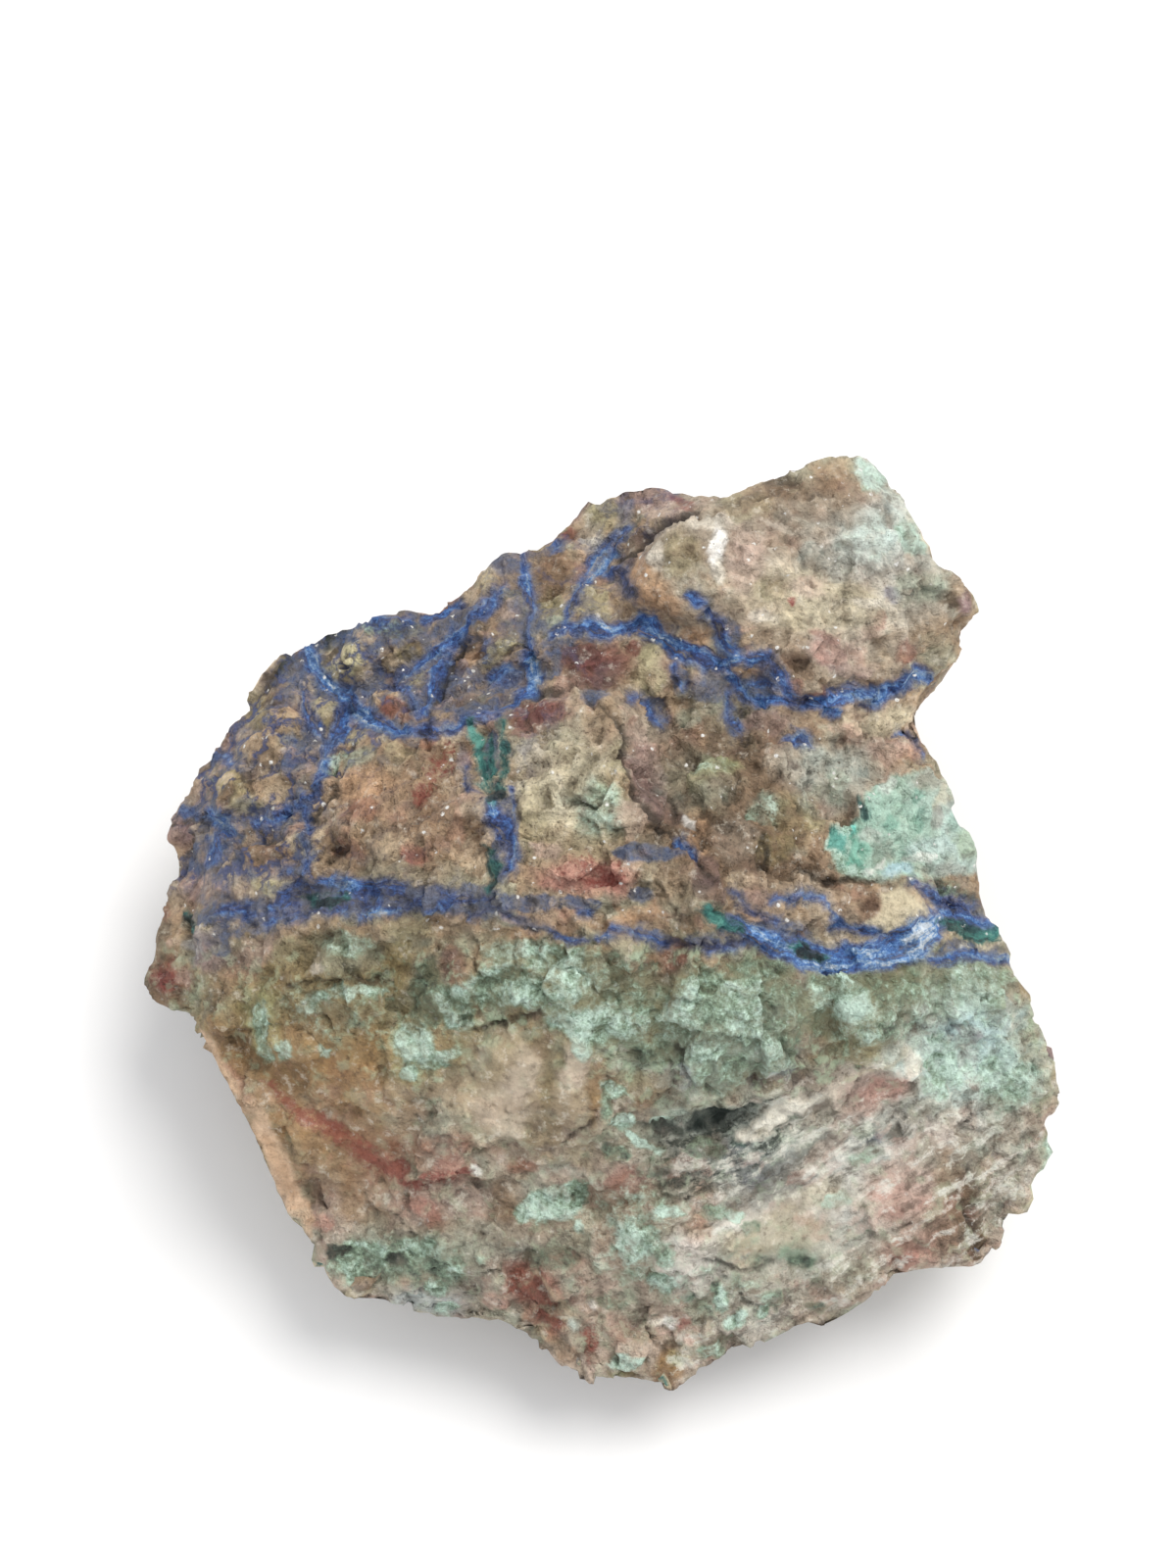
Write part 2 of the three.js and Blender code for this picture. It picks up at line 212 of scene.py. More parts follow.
# The same for the nearest of several lines.
def besideLines(u, v, lines):
    best = np.full(len(u), farOff)
    flow = np.zeros((2, len(u)))
    for order, line in enumerate(lines):
        off, lineFlow = besideLine(u, v, line)
        flow = np.where(off < best, lineFlow + lineShift * order, flow)
        best = np.minimum(best, off)
    return best, flow


softestPatch = 5  # half width in mm from which a patch's rim gets no softer


# A patch's share at each place: 1 well inside, 0 well outside.
def patchShare(places, patch):
    u, v, ragged = places
    pu, pv, ru, rv, turnDeg = patch[:5]
    turn = math.radians(turnDeg)
    x = (u - pu) * math.cos(turn) + (v - pv) * math.sin(turn)
    y = (v - pv) * math.cos(turn) - (u - pu) * math.sin(turn)
    soft = min(math.sqrt(ru * rv), softestPatch)
    rimFrom, rimTo = 0.84 - 0.08 * soft, 1.14 + 0.05 * soft
    return 1 - smoothStep(rimFrom, rimTo, np.hypot(x / ru, y / rv) + ragged)


# 1 inside a shape and 0 outside it, with a rim as soft as given in millimetres.
def insideShape(u, v, corners, soft):
    inside = np.zeros(len(u), bool)
    off = np.full(len(u), farOff)
    for (au, av), (bu, bv) in zip(corners, corners[1:] + corners[:1]):
        crosses = ((av > v) != (bv > v)) & (u < (bu - au) * (v - av) / (bv - av + 1e-9) + au)
        inside ^= crosses
        off = np.minimum(off, besideLine(u, v, [(au, av, 0), (bu, bv, 0)])[0])
    return smoothStep(-soft, soft, np.where(inside, off, -off))


# Veins, as lines of (u, v, width).
veins = {
    "blue": [
        # The main vein, from left to right.
        [(-38.2, 1.6, 0.6), (-37, 2.2, 1.3), (-34.5, 2, 1.8), (-31.5, 2.5, 1.5), (-29.6, 3.6, 2.4),
         (-26.5, 3.9, 3), (-23, 3.7, 3), (-19.5, 3.6, 2.5), (-16, 3.4, 2.4), (-13, 3.2, 1),
         (-9, 3.6, 0.5)],
        [(-12, 1.4, 0.4), (-10, 2.1, 0.5), (-8, 1.7, 0.5), (-6.4, 0.7, 0.6), (-4.6, 0.2, 0.7),
         (-3.6, -0.6, 0.5), (-2, -1, 0.4), (0, -1, 0.35), (2, -0.6, 0.35)],
        [(-0.9, 1.8, 0.7), (0.1, 1.8, 0.8)],
        [(2.5, 0.4, 0.3), (5.2, -0.4, 0.5), (7, -1.2, 0.9), (8, -1.3, 0.4)],
        [(10, -1.5, 0.7), (12.6, -1.6, 0.9), (14.6, -1.7, 0.7), (16.4, -1.4, 0.4)],
        [(14.6, 0.6, 1.4), (17, -0.4, 2.2), (19.5, -1.6, 2.6), (22, -2.4, 3), (25, -2.8, 3),
         (28, -2.6, 3), (31, -2, 3.4), (33.4, -1, 3.7), (35, 0.6, 2.4), (35.6, 1.6, 0.8)],
        [(-33.4, 0.6, 0.7), (-31, 1.5, 1.2), (-28, 2.4, 1.6), (-24, 2.4, 1.6), (-20, 2.5, 1.2),
         (-17, 2.4, 0.6)],
        [(25.6, 0.6, 0.5), (28.6, 0.2, 0.7), (30.6, -0.4, 0.6), (32.4, -0.2, 0.5)],
        [(35.3, -2.7, 0.9), (38, -2.6, 1), (40, -2.6, 0.9), (42.6, -2.9, 0.6)],
        [(33.4, 4.6, 0.6), (35.2, 3.6, 0.9), (37, 2.6, 1.2), (39, 2.2, 1.2)],
        [(35, 2.1, 1), (37, 1.6, 1.4), (39.6, 1.2, 1.4), (41.4, 0.4, 1)],
        [(14.8, 4.2, 0.5), (16.6, 2.9, 0.5), (18.4, 1.6, 0.7), (19.2, 1.1, 0.5)],
        [(19, 3.2, 0.3), (22, 3.6, 0.5), (24, 3, 0.3), (25.2, 1.4, 0.4), (26, 0.7, 0.5)],
        [(9.4, 9.2, 0.4), (10.3, 8.1, 0.7), (11.2, 6.8, 0.4)],
        # The upper vein, from left to right.
        [(-3.4, 30.2, 0.8), (-1.6, 31, 1.2), (0, 31, 1.4), (2, 30.5, 1.5), (3.6, 30.9, 1.3),
         (5, 31.4, 1.8), (6.4, 31, 2.2), (8, 29.9, 2.5), (9.4, 28.6, 2.4), (11.4, 27.7, 1.9),
         (13.4, 27.4, 1.6), (15, 28.1, 1.4), (15.8, 28.2, 0.6)],
        [(14, 26.9, 0.8), (15.2, 25.4, 1.3), (15.4, 24.2, 1.1), (17, 23.4, 1), (20, 23.5, 1.2),
         (22.4, 23, 1), (24.6, 22.6, 0.9), (25.4, 22.1, 0.6)],
        [(20.4, 24.4, 1.2), (22, 23.6, 1.4), (25.6, 23.9, 1.3), (27, 24.2, 1.6), (29.4, 23.9, 1.4),
         (31.6, 25, 1.2), (33, 26.1, 1.6), (34.2, 25.9, 1.1)],
        [(12.2, 32.7, 1), (13.2, 31.4, 1.3), (14.2, 30, 1.2), (15.2, 28.8, 1)],
        [(16.6, 28.2, 1.4), (18, 28, 1.5), (19, 27.2, 1.3), (19.8, 25.8, 1.2), (20.4, 24.4, 1.2)],
        [(16.4, 24.9, 1), (18, 25.3, 0.8), (19.4, 25.1, 0.8)],
        [(8.6, 26.6, 1), (8.9, 25.6, 0.9), (9.5, 24.6, 0.5)],
        [(4.2, 23.5, 0.4), (6, 23.4, 0.5), (6.6, 22.4, 0.8), (7.6, 21.7, 0.6)],
        [(10, 34, 0.6), (11, 33.7, 1), (11.8, 33.6, 0.4)],
        [(2.3, 36.6, 0.8), (3.4, 36.2, 1.7), (4.1, 35.2, 1.3), (4.6, 33.8, 0.5)],
        [(14, 24, 0.5), (14.4, 22, 0.7), (15.6, 20.6, 0.6)],
        [(20, 19.9, 0.4), (21.6, 19.6, 0.7), (22.6, 19.2, 0.4)],
        [(31.8, 20, 0.6), (33, 18.9, 0.8), (34, 17.6, 0.5)],
        # The broken rock of the upper left.
        [(4, 41.6, 0.4), (2.6, 39.6, 0.6), (1.8, 38, 0.9), (0.4, 36.4, 0.9), (-0.8, 34.6, 0.6),
         (-1.8, 32.8, 0.5), (-2.4, 31.2, 0.5)],
        [(3, 41, 0.3), (1.2, 38.8, 0.4), (0, 37.2, 0.5), (-1.2, 35.4, 0.3)],
        [(-6.6, 38.2, 0.7), (-6.4, 36.2, 1), (-6.1, 34.6, 1.1), (-5.8, 33, 0.7), (-6, 31, 0.5),
         (-6, 29, 0.6), (-5.8, 27.4, 1.4), (-5.4, 26, 1.9), (-6.2, 24.8, 1)],
        [(-3.9, 39.8, 0.8), (-2.8, 39.6, 0.8)],
        [(-20.2, 25.6, 0.5), (-18.4, 26.5, 0.7), (-16.4, 27.6, 0.8), (-15, 28.8, 1.3), (-13.6, 29.8, 1.2),
         (-12.4, 31.4, 0.9), (-11, 32.8, 0.8), (-9.6, 34.4, 0.8), (-8.6, 35.8, 0.5)],
        [(-16.6, 32, 0.9), (-15, 32.6, 1), (-13.4, 33.2, 0.6)],
        [(-20.6, 25.2, 0.9), (-19.4, 24.9, 0.9), (-18.2, 23.9, 0.7), (-17.8, 23.2, 0.6),
         (-17.3, 22.2, 0.9)],
        [(-17, 22.6, 0.9), (-16.7, 23.6, 0.6), (-15.9, 24.6, 1), (-15.2, 26, 1.2), (-14.6, 27.4, 0.9)],
        [(-10, 27.2, 0.3), (-10.6, 28.6, 0.5), (-10.4, 29.8, 0.5)],
        [(-10, 25.8, 1), (-8.6, 26, 1.4), (-7.2, 26.4, 0.8)],
        [(-28.6, 29, 1.2), (-27.6, 26.8, 1.7), (-26, 25.1, 1.5), (-24.4, 23.6, 1.5), (-23.2, 22, 1.8),
         (-21.4, 20.9, 1.4), (-19.6, 20.6, 1), (-17.6, 20.8, 1.1), (-16.4, 20.9, 2), (-15.6, 20.2, 1.2),
         (-14.4, 20.4, 1), (-12.8, 21.2, 1), (-10.8, 22, 0.9), (-9.2, 23, 0.9), (-7.4, 24, 1),
         (-5.8, 24.8, 1.2)],
        [(-24.8, 23, 1), (-24.9, 21.6, 1), (-25.6, 19.8, 1.2), (-26.6, 18.2, 1), (-26.8, 16.2, 0.9),
         (-28, 14.8, 0.8)],
        [(-29, 23.8, 0.8), (-28.4, 22.4, 1.3), (-28.1, 21.2, 1.7), (-27.2, 20.2, 1.2)],
        [(-38.2, 12, 1.4), (-37, 11.4, 2.2), (-36.4, 10, 1.6)],
        [(-38, 9.4, 1.6), (-38, 8, 1.8), (-38.6, 6.8, 0.9)],
        [(-34, 11.3, 0.9), (-31.6, 11.9, 0.9), (-30, 12.6, 0.9), (-28.8, 13.8, 0.9), (-27.6, 14.8, 0.7)],
        [(-29.2, 12.8, 0.8), (-29, 10, 0.7), (-29, 7.6, 0.8), (-29.3, 5.6, 1.2), (-29.6, 4.4, 1.5)],
        [(-31, 6.3, 0.9), (-29.8, 6.4, 0.9)],
        [(-38.4, 18, 1.2), (-37, 17.6, 0.9), (-36.4, 17.1, 0.5)],
        [(-41.2, 12.4, 0.8), (-40.2, 12, 0.8)],
        # Beside the green vein.
        [(-9.7, 13, 1), (-9.5, 11.8, 1.6), (-8.8, 10.4, 1.9), (-8, 9, 1.7), (-7.6, 7.6, 1.6),
         (-7.9, 6.2, 1.3), (-8.4, 5.4, 0.6)],
        [(-8, 14, 0.5), (-7.6, 12, 0.6), (-7.5, 10, 0.5)],
        [(-12.6, 16.8, 0.3), (-12.2, 14.8, 0.35), (-11.6, 13.8, 0.3)],
        [(-25, 30.2, 0.5), (-22.6, 31, 0.9), (-20, 31.6, 0.9), (-18, 31.4, 0.5)],
    ],
    "green": [
        [(-11.9, 21.2, 1), (-11.5, 19.6, 1.1), (-11.2, 18, 1), (-10.7, 16.2, 0.8), (-10.1, 14.4, 0.9),
         (-9.7, 13, 1)],
        [(-9, 21.6, 0.5), (-8.8, 19.6, 0.9), (-8.7, 17.4, 0.9), (-8.9, 15.2, 0.9), (-9.3, 13.4, 1)],
        [(-10.3, 20.4, 0.4), (-10.1, 18.4, 0.8), (-9.8, 16, 0.8), (-9.6, 14, 0.6)],
        [(-9.6, 8, 0.9), (-9.3, 6.6, 1.1), (-9.3, 5.2, 1), (-9.6, 4, 0.9)],
        [(-28.4, 3.2, 1.1), (-26.4, 3, 1.6), (-24.6, 3.5, 0.8)],
        [(-41.2, 1.6, 0.7), (-40.4, 0.8, 1.2), (-40, 0.2, 0.9)],
        [(12, 2, 1.5), (13.6, 0.8, 1.4), (15.2, 0.1, 0.9)],
        [(20.4, -1.6, 0.7), (21.4, -1.9, 1.2), (23, -2.3, 1.3), (24, -2.4, 0.6)],
        [(35.2, 0.9, 0.7), (36.6, 0.4, 1.9), (38.4, 0.2, 1.9), (41, -0.2, 1.6)],
        [(25, 10.4, 0.6), (25.6, 8.8, 1), (24.9, 8, 0.5)],
        [(27.9, 13.4, 0.6), (28.4, 11.8, 1)],
    ],
    "crack": [
        [(0.2, 23.7, 0.4), (2.6, 21.8, 0.5), (3.9, 20, 0.6), (3.6, 18, 0.6), (3.9, 15.8, 0.7),
         (5, 13.4, 0.7), (6.6, 11.5, 0.7), (8, 9.9, 0.9), (9.6, 8.6, 0.6), (11, 6.9, 0.5),
         (12.2, 5.2, 0.4)],
        [(-12.4, 31, 0.5), (-13, 29.4, 0.6), (-14, 27, 0.9), (-14.8, 25.2, 1), (-15.6, 23.8, 0.4)],
        [(-6.4, 24.1, 0.4), (-4.4, 24.5, 0.9), (-2.6, 24.7, 0.6), (-1.6, 25.4, 0.4)],
        [(-28.8, 11.6, 0.3), (-27.6, 12.2, 0.5), (-26, 13.8, 0.4), (-25, 16, 0.3)],
        # These two cracks lie under small overhangs; their dark is partly painted shadow.
        [(-31, -5.6, 0.2), (-28, -5, 0.3), (-25, -5.3, 0.3), (-22.4, -5.5, 0.4), (-20, -5.2, 0.2)],
        [(-11.8, -10, 0.2), (-9, -9.4, 0.3), (-6.4, -8.8, 0.5), (-4.8, -8, 0.4)],
        # Painted shadow: the dark line from (-2.6, -21.4) to (1, -19).
        [(-2.6, -21.4, 0.3), (-0.6, -20.2, 0.4), (1, -19, 0.3)],
        [(8.4, -11.6, 0.5), (9.4, -13.4, 0.6), (10, -15, 0.4)],
        # Painted shade in a groove by the lower right edge.
        [(38.4, -27.6, 0.3), (39.6, -30.6, 0.4)],
        [(11.6, -33.6, 0.3), (13.6, -34.2, 0.5), (16, -34.6, 0.4), (18.6, -33.9, 0.3)],
        # This line paints the shadow in the crevice along the lobe's left edge.
        [(11, 43, 0.7), (8, 41.6, 1.1), (5.6, 40.4, 1.1), (4.6, 39, 0.8), (3, 37.8, 0.4)],
        [(22, 6.2, 0.3), (24.4, 5.2, 0.7), (27, 5.4, 0.5), (30.2, 5.3, 0.3)],
        [(28, 0.2, 0.3), (31.8, -0.7, 0.5), (34.6, 0.9, 0.3)],
        [(17.6, 9.4, 0.3), (18.2, 6.6, 0.4)],
        [(8.6, 13.6, 0.3), (9, 11.4, 0.3)],
        [(-26.6, 7.2, 0.3), (-24.8, 8.4, 0.3)],
    ],
    "red": [
        [(-32.6, -15.8, 0.5), (-30, -18, 1), (-27.4, -19.6, 0.8), (-24, -21.4, 0.9), (-22, -23, 1.2),
         (-19.6, -24.4, 1.4), (-17.4, -25.6, 1), (-15, -24.8, 1), (-12.4, -24.4, 1)],
        [(-14.4, 18.4, 0.6), (-15.6, 16.2, 0.5), (-17, 13.6, 0.5)],
        [(-3, 6, 0.25), (0.4, 5.2, 0.35), (3.4, 5.6, 0.2)],
        [(-1.6, 7.2, 0.2), (1.6, 6.6, 0.3), (3.4, 6.8, 0.2)],
        [(0.4, -41.4, 0.5), (0.8, -43.4, 0.4)],
    ],
}

# Where the veins are darker or lighter, by their own colour and, where they are light, partly by painted
# highlights where they shine: (u, v, half width, half height, turn in degrees, tone).
veinTones = [
    (-24, 3, 15, 3.6, 0, 0.35), (-9.4, 8, 2.4, 7, 0, 0.34), (11, 26, 7, 4.4, 0, 0.52),
    (26, 22, 11, 4.4, 0, 0.54), (28, -1, 12, 4.4, 0, 0.57), (-4, 36, 9, 7, 0, 0.45),
    (-5.6, 26.4, 1.2, 1.8, -10, 0.66), (8.2, 29.8, 2.4, 0.8, -38, 0.7), (15, 28.2, 0.8, 0.6, 0, 0.7),
    (-28, 28, 0.8, 1.8, 15, 0.64), (-26, 24.9, 1.8, 0.8, -38, 0.7), (-23, 22, 1.6, 0.8, -30, 0.64),
    (-31, 24.4, 1.4, 0.5, -10, 0.84), (34, -0.6, 1.6, 1.8, 30, 0.8), (30.6, -2.6, 3, 0.9, 4, 0.74),
    (-25.2, 4.9, 2.4, 0.7, -8, 0.64), (-22.6, 1.9, 3.4, 0.6, 2, 0.66), (27.4, 24.1, 1.6, 0.6, 0, 0.64),
    (33, 26.1, 0.9, 0.6, 0, 0.64), (17, 24.6, 1.8, 0.7, 10, 0.64), (18, -0.4, 2.4, 0.5, -18, 0.66),
    (2.2, 30.6, 1.2, 0.4, -35, 0.84), (1.2, 37.6, 1.2, 2.4, -30, 0.72), (-6.3, 35.6, 0.6, 1.2, 0, 0.64),
    (-9.6, 12.2, 0.5, 0.7, 0, 0.7), (38, -1.3, 1.4, 0.5, 10, 0.84), (24, -3.6, 3, 0.7, 4, 0.68),
    (-16.4, 21.3, 1.6, 1.3, 0, 0.12), (3.6, 36, 1.2, 1.1, 0, 0.1), (4.4, 34.4, 0.7, 1, 20, 0.1),
    (18.8, 27.4, 1.2, 1.4, -30, 0.25), (13.2, 31.6, 0.8, 1.6, 25, 0.25), (-28.2, 21.2, 1, 0.9, 0, 0.3),
    (37.4, 2.6, 2, 0.7, -14, 0.25), (37.6, 0.4, 3, 1.4, -10, 0.36), (33.6, -1.6, 2.2, 1.4, 0, 0.84),
    (-19.4, 4.3, 2.4, 0.6, -3, 0.35), (-20, 25.2, 1.2, 0.6, -20, 0.25), (21, 23.6, 1.4, 0.7, 0, 0.25),
    (11, 27.6, 1.6, 0.5, -10, 0.3), (8.8, 25.9, 0.6, 0.9, 0, 0.25), (-14.4, 20.3, 1.4, 0.5, 10, 0.35),
    (33, 18.9, 1.4, 1, -50, 0.05), (-9.4, 13.5, 0.9, 0.7, 0, 0.02), (-26.6, 3, 1.6, 0.6, 0, 0.1),
    (22.6, -2.2, 1.4, 0.6, -8, 0.05), (-11.5, 19.8, 0.7, 1.3, 0, 0.85), (-8.8, 18, 0.6, 3, 0, 0.35),
    (25.6, 9.2, 1, 1.6, 0, 0.95), (11, -1.5, 5, 0.5, 0, 0.15), (-8, 1, 4, 1.2, -20, 0.15),
    (17, 2.8, 2.6, 1, -35, 0.15), (28.2, 12.4, 0.6, 1, 0, 0.1), (-40.6, 0.8, 0.9, 0.8, 0, 0.1),
    (7.8, 26, 0.8, 1, 0, 0.3),
]

# The rock's colour: (u, v, half width, half height, turn in degrees, tint, strength).
rockPatches = [
    # Broad stretches of one kind of rock.
    (-28.5, -6.5, 11, 6.5, 0, "olive", 0.7), (-20, -12, 8, 4, 0, "olive", 0.45),
    (-18.6, 12, 7.4, 9, 0, "brown", 0.45), (13, 12, 10, 11, 0, "brown", 0.7),
    (-2, 14, 7, 8, 0, "khaki", 0.5), (22, -28, 12, 7, 18, "paleGrey", 0.85),
    (14, -21.6, 11.5, 4.2, 18, "grey", 0.85), (27, -15.6, 7.4, 3.4, 22, "cloudy", 0.8),
    (38, -13, 8, 6.4, -10, "paleTurquoise", 0.95), (-28.5, -20, 8, 6.6, -30, "warmTan", 0.75),
    (32, -9.6, 4, 3, 0, "greyTan", 0.5), (29, -21, 6, 3, 20, "paleGrey", 0.7),
    (-6, -27, 9, 5, 0, "greyTan", 0.6), (33, 12.6, 3, 1.6, 0, "khaki", 0.5),
    (28.5, 37, 9, 7, 0, "paleGrey", 0.6), (14, 12, 8, 9, 0, "darkBrown", 0.38),
    (-3, 14, 5, 6, 0, "cream", 0.45), (-18.6, 12, 7.4, 9, 0, "darkBrown", 0.12),
    (24, 34, 7, 4, -10, "cream", 0.5),
    # The block left of the green vein.
    (-22.4, 14.6, 3.4, 2, 0, "orangeTan", 0.75), (-22.8, 12.2, 2.2, 1.1, 10, "redBrown", 0.6),
    (-18, 7.8, 1.2, 1, 0, "red", 0.6), (-26.4, 9.4, 1.8, 1.5, -20, "darkBrown", 0.7),
    (-27.6, 10.4, 1.2, 1.2, 0, "paleTan", 0.8), (-24.6, 8.2, 1.8, 1, 0, "redBrown", 0.4),
    (-26.4, 6.8, 1.8, 0.7, 10, "tan", 0.8), (-13.6, 15, 1.8, 1.6, 0, "paleTan", 0.8),
    (-12, 7.4, 1.9, 1.6, 0, "paleTan", 0.7), (-15.6, 11, 2.6, 2.6, 0, "brown", 0.45),
    (-24.2, 17.4, 2.6, 0.9, 25, "greenGrey", 0.7), (-26, 15.2, 0.8, 2.2, -35, "tan", 0.8),
    (-16.4, 19.2, 1.5, 0.8, 0, "redBrown", 0.55), (-13.8, 19.6, 1.4, 0.5, 30, "paleTan", 0.8),
    (-19.4, 18.2, 1.6, 1, 0, "khaki", 0.6), (-20.6, 9, 2.4, 1.4, 0, "paleTan", 0.4),
    (-12.8, 17.4, 0.8, 1.4, 0, "slate", 0.5), (-10.1, 18.4, 0.8, 3.4, -8, "slate", 0.65),
    # The block right of the green vein.
    (-2, 13, 6, 8.4, 0, "khaki", 0.4), (-4.8, 22.3, 3.4, 1.3, 5, "darkRed", 0.85),
    (-6.4, 20.5, 1.5, 0.8, 0, "redBrown", 0.6), (-2.4, 18.8, 1.9, 1.5, 0, "khaki", 0.75),
    (-2.2, 18.9, 0.9, 0.7, 0, "cream", 0.6), (-5.6, 17.6, 1.8, 1.8, 0, "greyTan", 0.6),
    (1.2, 21.2, 1.9, 2.4, 0, "tan", 0.8), (-1.2, 23.6, 1.3, 1.6, -30, "paleTan", 0.7),
    (0.8, 12.6, 2.8, 3.2, 0, "greenGrey", 0.75), (1.4, 13.6, 1.5, 1.8, 0, "paleGreen", 0.5),
    (-1.8, 11.6, 1.1, 1.3, 0, "cream", 0.6), (-5.6, 11.8, 1.8, 3.2, 0, "olive", 0.4),
    (-4.2, 8.3, 1.5, 0.9, 0, "palePink", 0.75), (4.6, 12, 1.6, 2.4, 0, "palePink", 0.45),
    (3.2, 17.6, 1, 2, 0, "khaki", 0.5), (0.3, 5.6, 4.4, 1.9, 5, "pink", 0.8),
    (-2.8, 4.6, 1.5, 0.7, 0, "pink", 0.65), (2, 5.2, 1.6, 0.8, 0, "red", 0.5),
    (-6.6, 5.6, 1.5, 1.3, 0, "tan", 0.7), (-6.4, 7.6, 0.8, 0.7, 0, "darkBrown", 0.5),
    # The brown rock right of the long crack.
    (14, 13, 9, 8, 0, "brown", 0.5), (6.2, 15.6, 1.9, 4.6, 20, "mauve", 0.6),
    (6.4, 14, 1.4, 3.4, 22, "darkMauve", 0.55), (9, 12.4, 0.8, 2.2, -4, "darkMauve", 0.5),
    (7.8, 10.4, 1.6, 0.9, -30, "darkBrown", 0.6), (6, 20.4, 2.2, 1.6, 0, "greyTan", 0.5),
    (10.2, 21.8, 1.2, 1.2, 0, "greenGrey", 0.6), (11.3, 15.6, 1.2, 1.8, 0, "olive", 0.75),
    (13.4, 16.9, 2.8, 1.3, 0, "yellowGreen", 0.6), (14.6, 13.9, 1.3, 0.8, 0, "darkBrown", 0.8),
    (13.6, 12, 1.8, 0.8, 0, "darkBrown", 0.5), (18.4, 12.6, 1.8, 1.6, 0, "greenGrey", 0.7),
    (10.9, 10.4, 0.9, 3.4, -6, "orangeTan", 0.65), (11.6, 7.2, 1.1, 0.9, 0, "orangeTan", 0.6),
    (15, 9.6, 2.4, 2.4, 0, "greyTan", 0.4), (17.8, 8, 0.6, 2.2, -8, "darkBrown", 0.7),
    (20.8, 11.4, 2.4, 3.2, 0, "olive", 0.55), (19, 8.4, 2.4, 1.4, 0, "olive", 0.5),
    (21.4, 17, 3.2, 2.8, 0, "greyTan", 0.65), (16.8, 18.8, 2, 1.3, 0, "darkBrown", 0.5),
    (18, 21.4, 3, 1, 0, "mauve", 0.45), (26, 17.2, 2.4, 3, 0, "greyTan", 0.6),
    (25.4, 15, 1.4, 1.6, 0, "paleGreen", 0.4), (29.6, 21.4, 3.8, 1.5, 8, "cream", 0.75),
    (25.4, 21.4, 0.7, 1.2, 20, "darkBrown", 0.6), (30, 18.4, 2, 1.4, 0, "palePink", 0.5),
    (31.8, 16.5, 1, 0.5, 0, "greyTan", 0.45), (28.1, 16.2, 0.6, 0.6, 0, "blackGreen", 0.5),
    (23.2, 12.4, 1, 2.6, 0, "khaki", 0.5), (24.8, 5, 1.1, 1.1, 0, "darkBrown", 0.95),
    (27.4, 4.2, 2.2, 1.3, -8, "brown", 0.8), (28.6, 3, 1, 0.7, 0, "darkBrown", 0.7),
    (22.4, 6.6, 1.6, 0.7, -10, "darkBrown", 0.5), (12.2, 4.8, 1.5, 2.2, 10, "darkMauve", 0.7),
    (15.8, 5.4, 1.5, 1, 0, "paleTan", 0.6), (18, 3.6, 1.6, 0.9, 0, "mauve", 0.4),
    (17, 1.8, 1.7, 0.7, -20, "orangeTan", 0.75), (21.2, 2, 2.4, 1, -6, "tan", 0.7),
    (24.6, 1.6, 1.6, 1, -30, "paleTan", 0.6), (26.4, -1.1, 2.6, 0.6, -3, "paleTan", 0.85),
    (5, 1.5, 3, 1, 4, "orangeTan", 0.55), (7.6, 4.6, 1.6, 1.8, 0, "tan", 0.5),
    (2, 0.2, 2, 0.8, 0, "brown", 0.5), (-7.6, 1.2, 1.7, 0.5, -10, "palePink", 0.8),
    (-6.6, -0.6, 1.8, 0.7, 0, "orangeTan", 0.55), (-2.6, 0.6, 1.5, 0.7, 0, "tan", 0.6),
    (8.8, -2.4, 1.4, 1.6, 0, "redBrown", 0.6), (12.6, -3.4, 2.4, 0.9, 0, "tan", 0.7),
    (5.4, 3.6, 1.2, 0.8, 0, "slate", 0.6), (6.4, 7.9, 3.4, 1, -4, "slate", 0.75),
    (3.6, 8.2, 1, 0.4, 10, "blueGrey", 0.6), (10, 11.2, 0.4, 0.7, 40, "white", 0.7),
    (40.6, -1.4, 1, 0.6, 0, "cream", 0.8), (38.8, -1.9, 0.8, 0.6, 0, "paleCream", 0.8),
    # The right lobe.
    (14, 38, 9, 9, 8, "greyTan", 0.6), (22, 33.8, 8, 3.2, -8, "cream", 0.5),
    (29.4, 41, 3, 4, -20, "paleGrey", 0.5), (6, 35.4, 2, 3, 25, "orangeTan", 0.8),
    (7.4, 33.4, 2.4, 0.9, -20, "orangeTan", 0.75), (7.6, 32.6, 2.2, 0.5, -25, "brown", 0.5),
    (9.6, 38.2, 2, 2.4, 0, "olive", 0.5), (12.4, 41.3, 2.4, 0.6, 8, "paleCream", 0.6),
    # The white sliver at (13.2, 39) is partly the rock's pale colour and partly a painted highlight on the
    # lit edge of the lobe.
    (13.2, 39, 0.9, 2.7, -4, "white", 0.95), (13.4, 36.6, 0.6, 1.2, 0, "paleCream", 0.75),
    (7.2, 38.2, 0.5, 1.5, -15, "paleCream", 0.6), (16.2, 37.8, 2, 3.6, 0, "palePink", 0.5),
    (16, 43.6, 3, 1.6, 15, "khaki", 0.5), (19.5, 45.6, 1.8, 1.5, 0, "darkBrown", 0.7),
    (20.9, 45, 0.5, 0.4, 0, "cream", 0.8), (24.6, 46.2, 1.9, 1.6, 0, "orangeTan", 0.35),
    (22.6, 44.4, 2.6, 0.6, 0, "brown", 0.5), (23.4, 42.8, 3.6, 1.6, 5, "grey", 0.6),
    (17.4, 44.2, 4, 1, 22, "brown", 0.45), (28.6, 46.4, 1.8, 1.5, -30, "paleTurquoise", 0.75),
    (31, 43.8, 1, 2.6, 28, "paleTurquoise", 0.5), (29.9, 43, 1, 0.9, 0, "darkGrey", 0.65),
